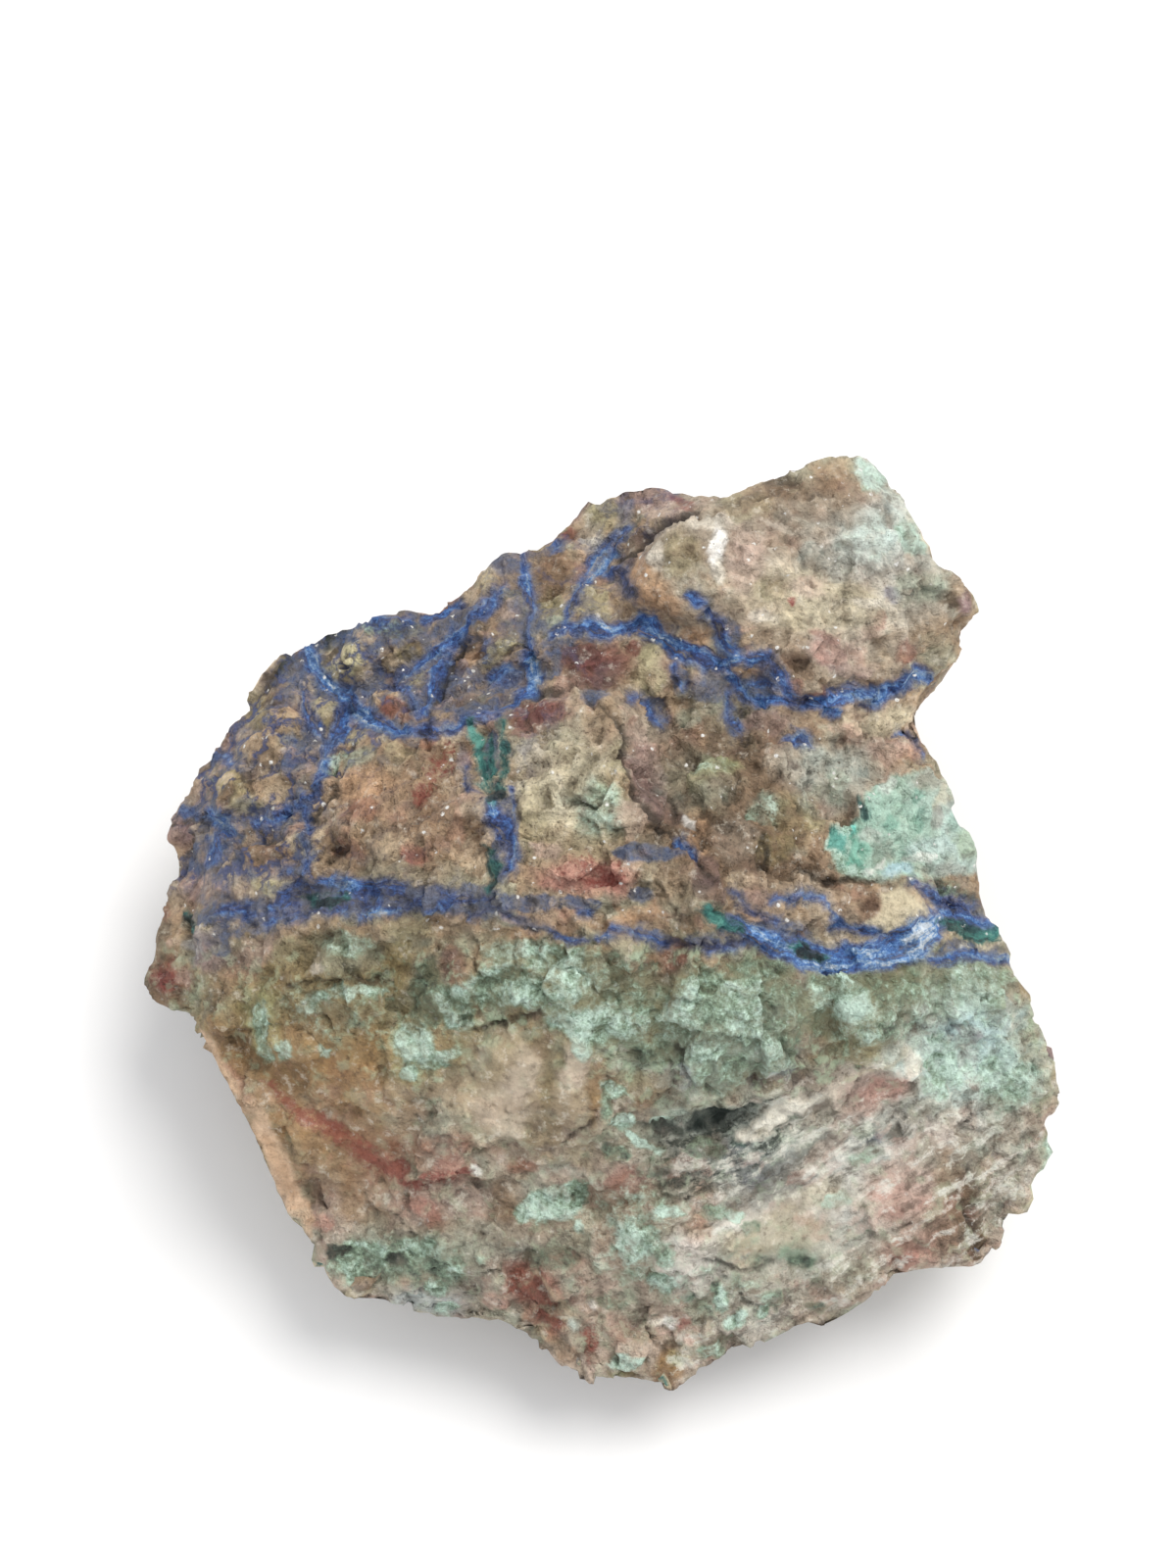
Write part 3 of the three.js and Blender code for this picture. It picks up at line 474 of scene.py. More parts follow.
    (30.6, 41.8, 0.9, 0.7, 0, "brown", 0.65), (28.6, 39.6, 3.4, 3, 0, "paleTurquoise", 0.5),
    (27.2, 37, 3, 2, 0, "paleGrey", 0.6), (33, 40.2, 1.2, 1.8, 30, "mint", 0.6),
    (19.8, 41.4, 2.4, 0.4, -20, "paleCream", 0.55), (20, 39.4, 2.2, 1.4, 0, "brown", 0.3),
    (22.8, 38.8, 1.4, 1, 0, "grey", 0.6), (24, 37.6, 2, 0.9, 0, "darkGrey", 0.45),
    (22.8, 35.2, 2.2, 1, 0, "palePink", 0.45), (21, 33.6, 0.5, 0.4, -40, "red", 0.7),
    (26.6, 34.5, 2.6, 0.9, -14, "cream", 0.8), (28.4, 33.4, 1.4, 0.5, 0, "paleCream", 0.7),
    (30.8, 34.5, 1, 0.8, 0, "violetGrey", 0.7), (33.8, 35, 2.8, 1.8, 0, "greenGrey", 0.7),
    (37, 34, 1, 1, 0, "darkBrown", 0.75), (38.6, 33.6, 0.8, 1.3, 0, "mauve", 0.7),
    (34, 32.2, 3, 1.4, 0, "greyTan", 0.5), (35.6, 30.4, 2, 1.4, 0, "tan", 0.5),
    (29.5, 31.8, 0.5, 1.1, -15, "redBrown", 0.75), (17.6, 32.2, 1.6, 0.7, -4, "paleCream", 0.7),
    (22.6, 31.8, 3, 1.1, 0, "cream", 0.75), (27, 32.2, 2.8, 1.1, 0, "cream", 0.55),
    (18.6, 34.6, 2, 1.2, 0, "khaki", 0.4), (24.6, 28.4, 2.6, 1.7, -14, "mauve", 0.55),
    (24.6, 28.2, 2, 1.3, -14, "pink", 0.5), (24.2, 30, 1.7, 0.5, -22, "red", 0.45),
    (26.4, 26.4, 2, 0.7, 0, "mauve", 0.5), (23.2, 24.5, 1.4, 0.5, 8, "darkRed", 0.75),
    (20.8, 27.4, 0.8, 2, 0, "brown", 0.5), (20.8, 25.4, 0.9, 0.6, 0, "redBrown", 0.6),
    (32.6, 28.2, 1.2, 1.1, 0, "redBrown", 0.75), (30.4, 27.8, 0.8, 1, 0, "paleTan", 0.7),
    (11, 29.8, 1.9, 1.2, -14, "orangeTan", 0.8), (16, 26.5, 1.6, 0.8, 0, "orangeTan", 0.7),
    (15.4, 26.2, 0.7, 0.4, 0, "darkBrown", 0.5), (12, 25.2, 2.2, 1.4, 0, "violetGrey", 0.45),
    (12, 23, 2, 1, 0, "greenGrey", 0.5), (6.3, 28.2, 1.2, 1.4, 0, "khaki", 0.8),
    (4.5, 28.8, 0.9, 1, 0, "darkRed", 0.6), (6.2, 25.5, 1.8, 1.7, 0, "khaki", 0.75),
    (0.6, 27.3, 3.9, 2.1, -8, "redBrown", 0.85), (0.2, 27.6, 3, 1.5, -8, "darkRed", 0.6),
    (-1.4, 28.2, 1.2, 0.9, 0, "darkMauve", 0.5), (2, 26.4, 1.4, 1, 0, "mauve", 0.5),
    (0.8, 24.4, 1.4, 0.9, 0, "slate", 0.6),
    # The peak between the two.
    (2, 42.7, 2.4, 1.6, 30, "khaki", 0.75), (6, 44.4, 3.4, 1.2, 5, "mauve", 0.65),
    (7.8, 43, 2.4, 0.8, 0, "palePink", 0.5), (9.6, 43.8, 1.4, 0.6, -20, "darkRed", 0.65),
    (8.6, 45.3, 1.4, 0.6, 0, "slate", 0.6), (3.6, 43.2, 0.8, 1.6, -25, "violetGrey", 0.6),
    # (8.6, 41.8), (5.4, 40.2) and (3.8, 38): painted shadow in the crevice beside the lobe.
    (8.6, 41.8, 2.4, 0.7, 14, "darkMauve", 0.7), (5.4, 40.2, 1, 1.6, -35, "darkMauve", 0.75),
    (3.8, 38, 1, 0.9, -35, "darkMauve", 0.6), (0.4, 39.2, 1.3, 1.1, -30, "paleGrey", 0.7),
    (0.9, 39.9, 0.8, 0.4, 0, "paleCream", 0.85), (-1.8, 40.7, 0.8, 0.9, 30, "redBrown", 0.85),
    (0, 41.2, 1.4, 0.8, 30, "greyTan", 0.6),
    # Broken pieces in the upper left.
    (-24.6, 27.6, 2.6, 1.9, 0, "khaki", 0.8), (-25.6, 28.2, 1, 0.8, 0, "paleTan", 0.4),
    (-20, 27.6, 1.3, 1.1, 0, "paleTan", 0.85), (-18, 28.5, 1.9, 0.8, 14, "olive", 0.7),
    (-20.2, 23.7, 1.3, 1, 0, "tan", 0.85), (-19.6, 22.4, 1.6, 0.8, 0, "redBrown", 0.75),
    (-26.7, 22.8, 1.4, 1, 0, "khaki", 0.85), (-26.2, 21, 1.1, 1.3, 0, "olive", 0.8),
    (-28.4, 24.7, 0.45, 1, -10, "paleTan", 0.8), (-23.6, 19.9, 1.6, 0.8, 8, "khaki", 0.8),
    (-33, 18.8, 2.2, 1.6, 10, "tan", 0.75), (-30.8, 21.4, 1.8, 1.5, -10, "tan", 0.8),
    (-33.6, 21.8, 1.4, 1.3, 0, "olive", 0.7), (-33.2, 23.4, 1.4, 1, 0, "olive", 0.6),
    (-31.6, 23.2, 1.5, 0.7, 0, "darkMauve", 0.6), (-36.2, 14.8, 1.9, 2, 15, "olive", 0.8),
    (-36.8, 15.4, 0.9, 0.7, 0, "paleTan", 0.7), (-36.4, 13.9, 1, 0.8, 0, "darkBrown", 0.75),
    (-32.8, 14.9, 1.9, 1.5, 20, "tan", 0.85), (-31.4, 13.9, 1.3, 1, -20, "paleTan", 0.7),
    (-34.6, 16.2, 0.8, 0.8, 0, "darkGrey", 0.5), (-30.6, 8.9, 1.3, 0.8, -10, "paleTan", 0.85),
    (-32.6, 7.6, 2.3, 1.4, 10, "brown", 0.8), (-33.2, 7.4, 1.2, 0.7, 0, "darkBrown", 0.4),
    (-32, 4.6, 1.8, 0.9, 4, "khaki", 0.85), (-34.4, 3.9, 0.6, 0.5, 0, "paleTan", 0.8),
    (-38.7, 0, 0.95, 0.85, 0, "cream", 0.98), (-39.6, 4.6, 2.6, 1.9, 0, "mauve", 0.45),
    (-38, 5, 1.4, 0.8, 0, "palePink", 0.5), (-36.6, 5.6, 1, 1, 0, "greyTan", 0.7),
    (-41.8, 10.3, 1.9, 2.2, 0, "mauve", 0.7), (-39.5, 13.8, 1.2, 2, 0, "palePink", 0.55),
    (-42.2, 2, 1.8, 2, 0, "tan", 0.6), (-43.4, 2, 0.6, 1, 0, "redBrown", 0.5),
    (-28.3, 17, 1.1, 0.5, -30, "palePink", 0.8), (-29.6, 18.2, 1.6, 0.7, 0, "violetGrey", 0.6),
    (-30.8, 26.9, 1.7, 1.3, 30, "blackGreen", 0.75), (-33, 25.9, 0.9, 0.8, 0, "mauve", 0.5),
    (-26.6, 30.2, 2.8, 0.8, 15, "blackGreen", 0.6), (-22.4, 31.2, 2.6, 0.7, 14, "darkGreen", 0.6),
    (-18.4, 30.6, 1.6, 1, 0, "jade", 0.35), (-37.6, 19.4, 1.2, 1.4, 30, "mauve", 0.6),
    (-9, 28.6, 1.1, 2.6, -30, "khaki", 0.85), (-3.6, 37, 1.8, 2, 0, "orangeTan", 0.5),
    (-3.4, 36.6, 1.6, 1.4, 0, "brown", 0.45), (-4.1, 33.5, 1.5, 1.5, 0, "olive", 0.75),
    (0.8, 33.4, 2.3, 2.2, -20, "khaki", 0.85), (3.3, 33.1, 1.4, 1.5, 0, "tan", 0.75),
    (-10.8, 36, 1.3, 1.4, -30, "khaki", 0.7), (-12, 33.9, 0.9, 0.9, 0, "paleTan", 0.7),
    (-8.2, 33.1, 1.5, 0.7, -10, "palePink", 0.65), (-10, 31.8, 1.6, 1, 20, "brown", 0.7),
    (-12, 30.4, 0.9, 1.6, -30, "darkBrown", 0.7), (-6.8, 25.8, 0.8, 0.8, 0, "paleTan", 0.85),
    (-8, 24.8, 0.9, 0.4, 10, "paleTan", 0.8), (-12.3, 27.4, 1.3, 0.9, 40, "orangeTan", 0.7),
    (-14, 25.6, 0.8, 2.4, -28, "darkBrown", 0.85), (-14.5, 23.9, 1.2, 0.7, 30, "palePink", 0.7),
    (-16.9, 26.3, 1.1, 0.5, 14, "khaki", 0.8), (-17.7, 25.1, 1.2, 0.6, 10, "khaki", 0.8),
    (-15, 22.2, 1.6, 0.8, 0, "tan", 0.6), (-12, 23.6, 1.4, 1, 0, "darkMauve", 0.5),
    (-5, 29.2, 0.7, 1.4, 0, "tan", 0.7), (1, 31.4, 0.6, 0.4, 0, "white", 0.9),
    (-8.9, 37.6, 1.6, 1, -15, "slate", 0.6), (-0.8, 38.4, 1.4, 0.8, 0, "paleTan", 0.6),
    (-3, 31.6, 1.2, 0.8, 0, "greenGrey", 0.6),
    # The knob at the left edge, and the flank below it.
    (-43.4, -1.6, 2.2, 1.8, 0, "brown", 0.6), (-42.8, -4.6, 2.6, 1.9, -12, "redBrown", 0.9),
    (-43.2, -4.8, 1.4, 0.9, -12, "darkRed", 0.6), (-44.2, -6.6, 2.4, 1.1, -15, "brown", 0.85),
    (-42, -1.2, 1, 0.6, 0, "palePink", 0.5), (-41, -4.8, 0.8, 1, 0, "palePink", 0.5),
    (-41.4, -1.8, 0.9, 1.2, 0, "tan", 0.5),
    # The front face, from left to right.
    (-38.6, -1.8, 2, 2.2, 0, "violetGrey", 0.65), (-38.6, -2.8, 1.2, 1.6, 0, "mauve", 0.4),
    (-34.4, -2.4, 3.6, 1.5, 33, "palePink", 0.75), (-36.2, -5, 2.4, 1.3, 20, "orangeTan", 0.4),
    (-31, -2.4, 1.3, 1.8, 0, "khaki", 0.6), (-33, -5.8, 1.8, 2.8, 0, "olive", 0.7),
    (-38.2, -7.6, 1.1, 2, 0, "darkGrey", 0.5), (-24.8, -2.4, 3.6, 2.4, 0, "greenGrey", 0.7),
    (-27.6, -3.8, 1, 0.5, 0, "paleCream", 0.75), (-19.4, -3.2, 1.5, 2.6, 0, "olive", 0.75),
    (-18.4, 0.2, 3, 0.9, 0, "khaki", 0.6), (-30, 0, 3, 0.8, 10, "tan", 0.5),
    (-26.6, -9, 3, 1.8, 0, "brown", 0.6), (-24.4, -10.2, 2, 1.4, 0, "khaki", 0.45),
    (-29, -10.2, 1.6, 1, 0, "redBrown", 0.35), (-22.4, -11.6, 1.5, 3, 0, "ochre", 0.65),
    (-24.6, -15.2, 3, 2.2, 0, "orangeTan", 0.6), (-27, -13.6, 2, 1, 0, "ochre", 0.5),
    (-26.6, -16.6, 1.6, 1.1, 0, "palePink", 0.45), (-35.4, -12, 1.5, 1.8, 0, "darkBrown", 0.5),
    (-31.6, -15, 2, 1.2, -30, "brown", 0.55), (-32, -17.6, 2, 0.8, -35, "pink", 0.4),
    (-18.4, -13.6, 1.6, 2.4, 0, "yellowGreen", 0.35), (-13.6, -3.6, 1.3, 2.2, 0, "darkRed", 0.5),
    (-14, -1, 1.4, 1, 0, "brown", 0.6), (-16.4, -5.4, 2, 3.6, 0, "darkGrey", 0.45),
    (4.4, -4.6, 5, 2, 0, "brown", 0.6), (7.8, -3.4, 2, 1.3, 0, "redBrown", 0.4),
    (-5, -3.4, 2.2, 0.8, 0, "khaki", 0.5), (-5.4, -8.2, 0.9, 0.9, 0, "redBrown", 0.6),
    (9.4, -7.6, 1.6, 1.6, 0, "violetGrey", 0.45), (10, -7.5, 0.6, 0.5, 0, "white", 0.8),
    (8.8, -10.6, 1.4, 1.4, 0, "grey", 0.5), (16.8, -13.2, 1.2, 2.8, 0, "slate", 0.6),
    (21.4, -10.8, 1.9, 3, 0, "mauve", 0.35), (18.6, -9, 1.2, 1.6, 0, "violetGrey", 0.4),
    (20.6, -15, 2.4, 1.2, 0, "darkMauve", 0.6), (17.6, -15.5, 1.3, 0.7, 0, "blackGreen", 0.7),
    (21.3, -6, 0.9, 1.6, -10, "darkBrown", 0.75), (23.2, -7.6, 0.5, 1, 0, "darkBrown", 0.75),
    (25.2, -9.9, 1.2, 0.8, -20, "redBrown", 0.8), (24, -11.4, 0.8, 1.5, 0, "brown", 0.7),
    (27.4, -13.5, 0.55, 0.5, 0, "darkBrown", 0.95), (27.6, -12, 3, 1.3, 10, "olive", 0.7),
    (23.6, -14.4, 2, 1.4, 20, "darkBrown", 0.5), (31.6, -5, 2, 1.4, 0, "olive", 0.6),
    (31.6, -7, 2, 1.8, 0, "darkBrown", 0.45), (32, -8.4, 0.6, 0.5, 0, "darkBrown", 0.9),
    (33.8, -9.8, 0.6, 0.8, 15, "darkBrown", 0.75), (35, -5.4, 1.2, 2, 0, "cream", 0.55),
    (36.2, -8.6, 1.6, 1.4, 0, "cream", 0.5), (38.8, -10.4, 1.1, 0.6, 0, "redBrown", 0.8),
    (39.6, -6, 3, 2.4, 0, "greenGrey", 0.6), (33.4, -13.4, 1, 1.4, 0, "paleCream", 0.65),
    (38.7, -13, 0.8, 2.2, 0, "paleCream", 0.55), (39.4, -15.6, 1.2, 0.9, 0, "palePink", 0.6),
    # Its quartz.
    (-9.4, -16.6, 5, 5, 0, "quartz", 0.7), (-8.6, -11.6, 2.4, 2.2, 0, "quartz", 0.75),
    (-12.6, -16.2, 3.4, 3, 0, "quartz", 0.6), (-6.4, -14.4, 2, 2.8, -15, "cloudy", 0.75),
    (-1.5, -15, 2, 4.4, -14, "quartz", 0.7), (-1.4, -14.2, 1.5, 3.4, -12, "cloudy", 0.85),
    (-2, -18, 2.2, 2.2, 0, "quartz", 0.75), (-8.8, -18.4, 3.2, 2.6, 0, "cloudy", 0.6),
    (-11.6, -12.8, 1.6, 1.4, 0, "cloudy", 0.45), (-26.5, -9.8, 3, 2.2, 0, "khaki", 0.5),
    (-3.9, -14.6, 0.5, 3, -12, "darkGrey", 0.45), (-3, -10.6, 2, 0.5, 20, "darkGrey", 0.4),
    (-4.4, -16, 0.8, 3, 0, "olive", 0.5), (-4.8, -20.4, 2.2, 1.4, 0, "olive", 0.55),
    (0.7, -16.8, 0.7, 2.8, 0, "ochre", 0.6), (-11.8, -20.8, 3, 1.8, 0, "quartz", 0.5),
    (-12.8, -12.6, 1.2, 1.6, 0, "olive", 0.55), (-4.4, -11.6, 1.1, 1, 0, "brown", 0.6),
    (4.4, -13.6, 2.4, 1, 0, "greyTan", 0.65), (6, -15, 3, 1.7, 0, "khaki", 0.55),
    (6.6, -17.3, 2, 1, 10, "ochre", 0.6), (9.4, -15.6, 1, 2, 0, "tan", 0.6),
    (12, -16.6, 2, 1.6, 0, "khaki", 0.55),
    # The middle and lower parts.
    (-22.6, -24, 5, 4, 0, "tan", 0.5), (-17.6, -22.2, 2.4, 0.8, 0, "darkRed", 0.35),
    (-14.2, -21.6, 2.6, 1, 0, "redBrown", 0.55), (-13.6, -24.2, 2.8, 1.6, 0, "red", 0.5),
    # The white dot at (-11.4, -24.2) is a painted glint.
    (-11.4, -24.2, 0.6, 0.5, 0, "white", 0.95), (-6.6, -23.8, 1.7, 0.9, 0, "redBrown", 0.6),
    (-4.6, -23, 1, 0.6, 0, "paleTan", 0.6), (-4.6, -25.2, 2.8, 0.7, 0, "tan", 0.5),
    (-9, -27.8, 1.4, 2.4, 0, "brown", 0.55), (-12.4, -27.6, 2.6, 2, 0, "mauve", 0.35),
    (-27, -27.2, 1.6, 2.4, -20, "mauve", 0.45), (-27.4, -29.7, 1.6, 1, 0, "pink", 0.6),
    (-30, -22.4, 1.2, 1.8, 0, "greenGrey", 0.5), (-28.3, -24.2, 1, 0.7, 0, "mauve", 0.5),
    (-17, -28.2, 2.2, 1.1, -42, "pink", 0.6), (-15.4, -30, 1.1, 1.2, 0, "redBrown", 0.4),
    (-22.6, -28.8, 2.4, 1.4, 0, "tan", 0.5), (-12, -31.2, 5, 1.7, -4, "olive", 0.35),
    (-10, -31.6, 6, 2, -4, "grey", 0.5), (-8.4, -33.5, 3.4, 0.7, -4, "greyTan", 0.6),
    (-18.6, -36.2, 2, 1.2, 0, "quartz", 0.7), (-11.6, -35.8, 2.2, 1.8, 0, "darkGrey", 0.35),
    (-9.6, -37.8, 1.2, 0.9, 0, "pink", 0.5), (-23.4, -37, 1.8, 0.9, 0, "khaki", 0.5),
    (-6.6, -36.6, 1.9, 1.4, -10, "redBrown", 0.85), (-4.2, -38.6, 2.8, 1.1, -40, "redBrown", 0.85),
    (-5.4, -37.4, 1.4, 0.8, -30, "red", 0.3), (-5, -40.4, 2.6, 0.9, -42, "orangeTan", 0.55),
    (-2.6, -42.6, 2, 1, -40, "brown", 0.7), (-1.6, -33, 0.8, 0.5, 0, "blackGreen", 0.85),
    (-4.6, -32.8, 2.4, 0.9, -10, "darkGreen", 0.4), (-2, -36, 1, 1.4, 0, "greenGrey", 0.5),
    (0.8, -42, 1, 0.9, 0, "redBrown", 0.55), (1.1, -44, 1.2, 1.3, 0, "palePink", 0.4),
    (3.4, -45.2, 1.4, 0.5, 0, "olive", 0.75), (8, -44.8, 1.6, 1.7, -20, "ochre", 0.8),
    (7.6, -46, 1.4, 0.8, -35, "brown", 0.7), (9.2, -43.8, 1, 0.8, 0, "yellowGreen", 0.4),
    (8.4, -42.3, 1.4, 0.5, 10, "darkBrown", 0.75), (10.6, -41.6, 0.9, 0.7, 0, "palePink", 0.6),
    (8, -39.7, 1, 0.5, -18, "white", 0.95), (6.6, -39.6, 0.7, 0.4, 0, "paleCream", 0.7),
    (9.5, -40, 0.6, 0.7, 0, "red", 0.7), (8, -41, 0.9, 0.3, 0, "palePink", 0.75),
    (5, -41.4, 2.4, 0.8, 0, "brown", 0.5), (1.8, -36.6, 1.8, 1.3, 0, "palePink", 0.5),
    (0.6, -38.3, 0.5, 0.4, 0, "white", 0.7), (1.6, -31.6, 1.6, 2.4, 0, "palePink", 0.65),
    (0.6, -33.8, 0.7, 0.8, 0, "darkBrown", 0.5), (10.6, -33, 1.3, 3.4, 4, "palePink", 0.7),
    (11.5, -30.4, 0.9, 1.5, 0, "orangeTan", 0.4), (15, -32.8, 3.6, 1.7, 0, "cream", 0.65),
    (18, -36, 3, 1.2, 0, "greyTan", 0.6), (4, -25.4, 2.8, 1.8, 5, "mauve", 0.8),
    (2.6, -25.4, 1.4, 0.9, 0, "redBrown", 0.35), (1.4, -27.4, 0.9, 1.3, 0, "darkGrey", 0.6),
    (5.4, -27.9, 1.8, 0.7, 0, "palePink", 0.55), (-0.8, -22.6, 1.5, 1.6, 0, "cream", 0.6),
    (12.6, -26.2, 2, 1.5, 0, "paleTan", 0.5), (16, -23.6, 5, 2.6, 18, "grey", 0.6),
    (14, -22.4, 3, 1, 20, "slate", 0.45), (17.2, -25.6, 1.6, 1, 0, "violetGrey", 0.5),
    (22, -24.2, 3, 1.1, 26, "greyTan", 0.6), (23.8, -26.6, 2.6, 1.2, 20, "cream", 0.55),
    (20, -28.4, 1.8, 0.8, 10, "mauve", 0.4), (20.4, -30.4, 5.4, 3.4, 12, "greyTan", 0.75),
    (20, -30.6, 4.2, 2.4, 12, "khaki", 0.35), (31, -26, 4.4, 3.4, 20, "cloudy", 0.65),
    (30, -25, 2, 2.4, 20, "palePink", 0.5), (27.6, -23.8, 1, 1.3, 0, "white", 0.55),
    (28.2, -21.6, 2.6, 0.8, 20, "darkGrey", 0.55), (9.6, -24, 1.4, 1, -25, "blackGreen", 0.8),
    (8.7, -25.8, 1.3, 0.8, 0, "blackGreen", 0.7), (15, -23.5, 0.8, 0.6, 0, "blackGreen", 0.75),
    (15.4, -21.6, 0.9, 0.6, 0, "darkGreen", 0.75), (18.3, -24.6, 0.9, 0.5, -30, "darkGrey", 0.7),
    (11.4, -22.8, 3, 1.4, 25, "darkGrey", 0.5), (17, -24.4, 4.6, 1.6, 18, "slate", 0.35),
    (21.5, -33.3, 2.2, 0.8, 8, "jade", 0.5), (21.3, -33.4, 1, 0.5, 0, "darkGreen", 0.5),
    (14.6, -32, 3.2, 1.4, 0, "cream", 0.45), (11.1, -30.9, 1.3, 2.4, 0, "orangeTan", 0.4),
    (29.6, -16.7, 4.4, 2.1, 22, "palePink", 0.8), (30, -16.6, 3.2, 1.4, 24, "pink", 0.55),
    (27, -19.4, 3.4, 0.9, 24, "palePink", 0.65), (24.6, -22, 3, 0.8, 30, "palePink", 0.7),
    (34.4, -18.4, 2.2, 1, 25, "olive", 0.5), (36.4, -20, 4, 1.3, 28, "palePink", 0.6),
    (37.2, -18.6, 1, 0.8, 0, "paleCream", 0.6), (38.4, -20.8, 1.6, 1.4, 0, "greyTan", 0.5),
    (28.6, -21.2, 1.8, 0.7, 10, "slate", 0.7), (31.8, -21, 1.7, 0.9, 0, "grey", 0.6),
    (27.4, -24.2, 1.2, 0.9, 0, "paleCream", 0.75), (29.6, -23.2, 1.2, 0.6, 0, "paleTurquoise", 0.5),
    (33.4, -26.4, 2.6, 3, 0, "palePink", 0.6), (30.6, -26, 1.4, 1.6, 0, "palePink", 0.5),
    (31, -28.8, 1.4, 0.8, 0, "redBrown", 0.45), (28.6, -33, 2.4, 2, 0, "mauve", 0.35),
    (28.4, -33.4, 2, 1.4, 0, "brown", 0.35), (32, -33, 2, 1.7, 0, "pink", 0.65),
    (32.4, -33.4, 1.2, 1, 0, "red", 0.3), (35.8, -31.6, 2, 2, 0, "pink", 0.35),
    (35.8, -32, 1.6, 1.8, 0, "brown", 0.35), (39.5, -32.2, 1.2, 1.7, 0, "ochre", 0.6),
    # (38.4, -27.2): painted shade in the groove by the lower right edge.
    (39.6, -32.4, 0.9, 1.4, 0, "darkBrown", 0.75), (38.4, -27.2, 1.3, 3, -10, "brown", 0.65),
    (38.2, -24.6, 1.2, 1.5, 0, "darkGrey", 0.6), (40.6, -25, 0.9, 2.6, 0, "cream", 0.65),
    (39.8, -22.2, 1.3, 0.9, 0, "greenGrey", 0.6), (36.2, -24, 0.9, 2, 0, "tan", 0.5),
    (34.6, -23.4, 1.6, 1, 0, "greyTan", 0.5), (42, -20.6, 1.6, 2, 0, "greyTan", 0.6),
    # Washes over larger areas.
    (-24, -12.6, 11, 3.4, 0, "darkBrown", 0.13), (-37.5, -16, 2.4, 6, -15, "orangeTan", 0.5),
    (7, 1.4, 6.4, 2.4, 0, "darkBrown", 0.15), (0, -5.2, 6.4, 2.6, 0, "darkBrown", 0.09),
    (-7, -33.6, 6.6, 3, 0, "darkBrown", 0.11), (17, -38.8, 4, 3, 0, "paleGrey", 0.4),
    (0, 36.6, 6.4, 3, 0, "darkBrown", 0.12), (-7, 22.6, 6, 2.6, 0, "darkMauve", 0.17),
    (17.5, 22.4, 3.4, 3, 0, "darkBrown", 0.1), (28, 30, 7, 4, 0, "paleCream", 0.15),
    (-3.4, -26, 3.6, 2.4, 0, "paleTurquoise", 0.3), (-27, -18, 11, 8.5, -30, "ochre", 0.58),
    (-30, -12.5, 9, 4.4, 0, "ochre", 0.45), (-18.5, -26, 6, 3.6, -20, "redBrown", 0.32),
    (-22, -22.4, 6, 2, -30, "redBrown", 0.3), (3.5, -20.4, 3.4, 3, 0, "darkGreen", 0.25),
    (-3.4, -20.8, 3.4, 2.4, 10, "darkGrey", 0.3), (17.5, -26, 4.4, 2.6, 18, "darkGrey", 0.58),
    (10.4, -25.6, 3.4, 3, 0, "darkGrey", 0.22), (10.8, -33.8, 3.8, 3.4, 0, "white", 0.62),
    (-3.4, -33.4, 3.4, 3, 0, "darkGrey", 0.24), (-4.8, -37.6, 4.8, 2.6, -42, "redBrown", 0.8),
    (33, -33, 2.8, 2, 10, "pink", 0.5), (17, 8.5, 4.4, 3.4, 0, "darkBrown", 0.25),
    (-10.6, 17, 1.6, 4, -8, "darkGreen", 0.25), (-3.4, 36.6, 2.8, 3, 0, "darkBrown", 0.3),
    (24, 44, 5, 2.4, 8, "brown", 0.6), (25.4, 41.6, 2.4, 1.2, 0, "darkGrey", 0.35),
    (11, 15.4, 4, 3.4, 0, "greenGrey", 0.35), (25, 16, 4.4, 3.8, 0, "paleTurquoise", 0.34),
    (11.6, -13.4, 5.4, 3.2, 0, "blueMist", 0.5), (18, -12.4, 3.4, 3, 0, "blueMist", 0.35),
    (4, -12.6, 3.4, 2.4, 0, "mint", 0.35), (-33, -13, 5.4, 5, -20, "darkBrown", 0.2),
    (-7, -12.4, 7, 3, 0, "darkGreen", 0.17), (0, -19.6, 6.4, 3, 0, "darkBrown", 0.13),
    # The browns near (38, -28) in these washes, at (38.4, -26.6), (37.4, -29.6), (38.9, -29.4) and (37.5,
    # -27), are painted shade in the groove by the lower right edge.
    (-10.5, -30, 4, 5.4, 0, "darkBrown", 0.15), (38.4, -26.6, 4, 4.6, 0, "darkBrown", 0.26),
    (-16.6, -38.4, 4.4, 2.4, 0, "blueMist", 0.35), (-3.6, 8, 3.6, 3, 0, "brown", 0.3),
    (10.4, 8.4, 3.6, 3.4, 0, "darkBrown", 0.17), (39, -8.6, 4.4, 6.4, 0, "blueMist", 0.38),
    (31.4, -5.2, 4, 2.8, 0, "darkGreen", 0.3), (15, -10.6, 6.4, 4.6, 0, "blueMist", 0.36),
    (10.4, -18.4, 4, 2, 0, "mint", 0.28), (-37.6, -12.6, 3.4, 4.8, 0, "ochre", 0.55),
    (-33, -22, 4, 6, -20, "ochre", 0.3), (27, -21.2, 5, 2, 18, "darkGreen", 0.32),
    (27.4, -24.2, 2.8, 2, 0, "paleGrey", 0.6), (31.6, -29, 3.4, 4.4, 0, "pink", 0.35),
    (37.4, -29.6, 3, 4.4, 0, "brown", 0.45), (42.4, -22.6, 3.2, 4.4, 0, "grey", 0.35),
    (35.4, -19.4, 6.4, 2.8, 10, "paleGrey", 0.36), (4.4, -26.2, 2.6, 2.4, 0, "redBrown", 0.5),
    (11, -23.2, 5, 2.8, 8, "darkGrey", 0.4), (38.9, -29.4, 1.7, 3.8, 8, "darkBrown", 0.55),
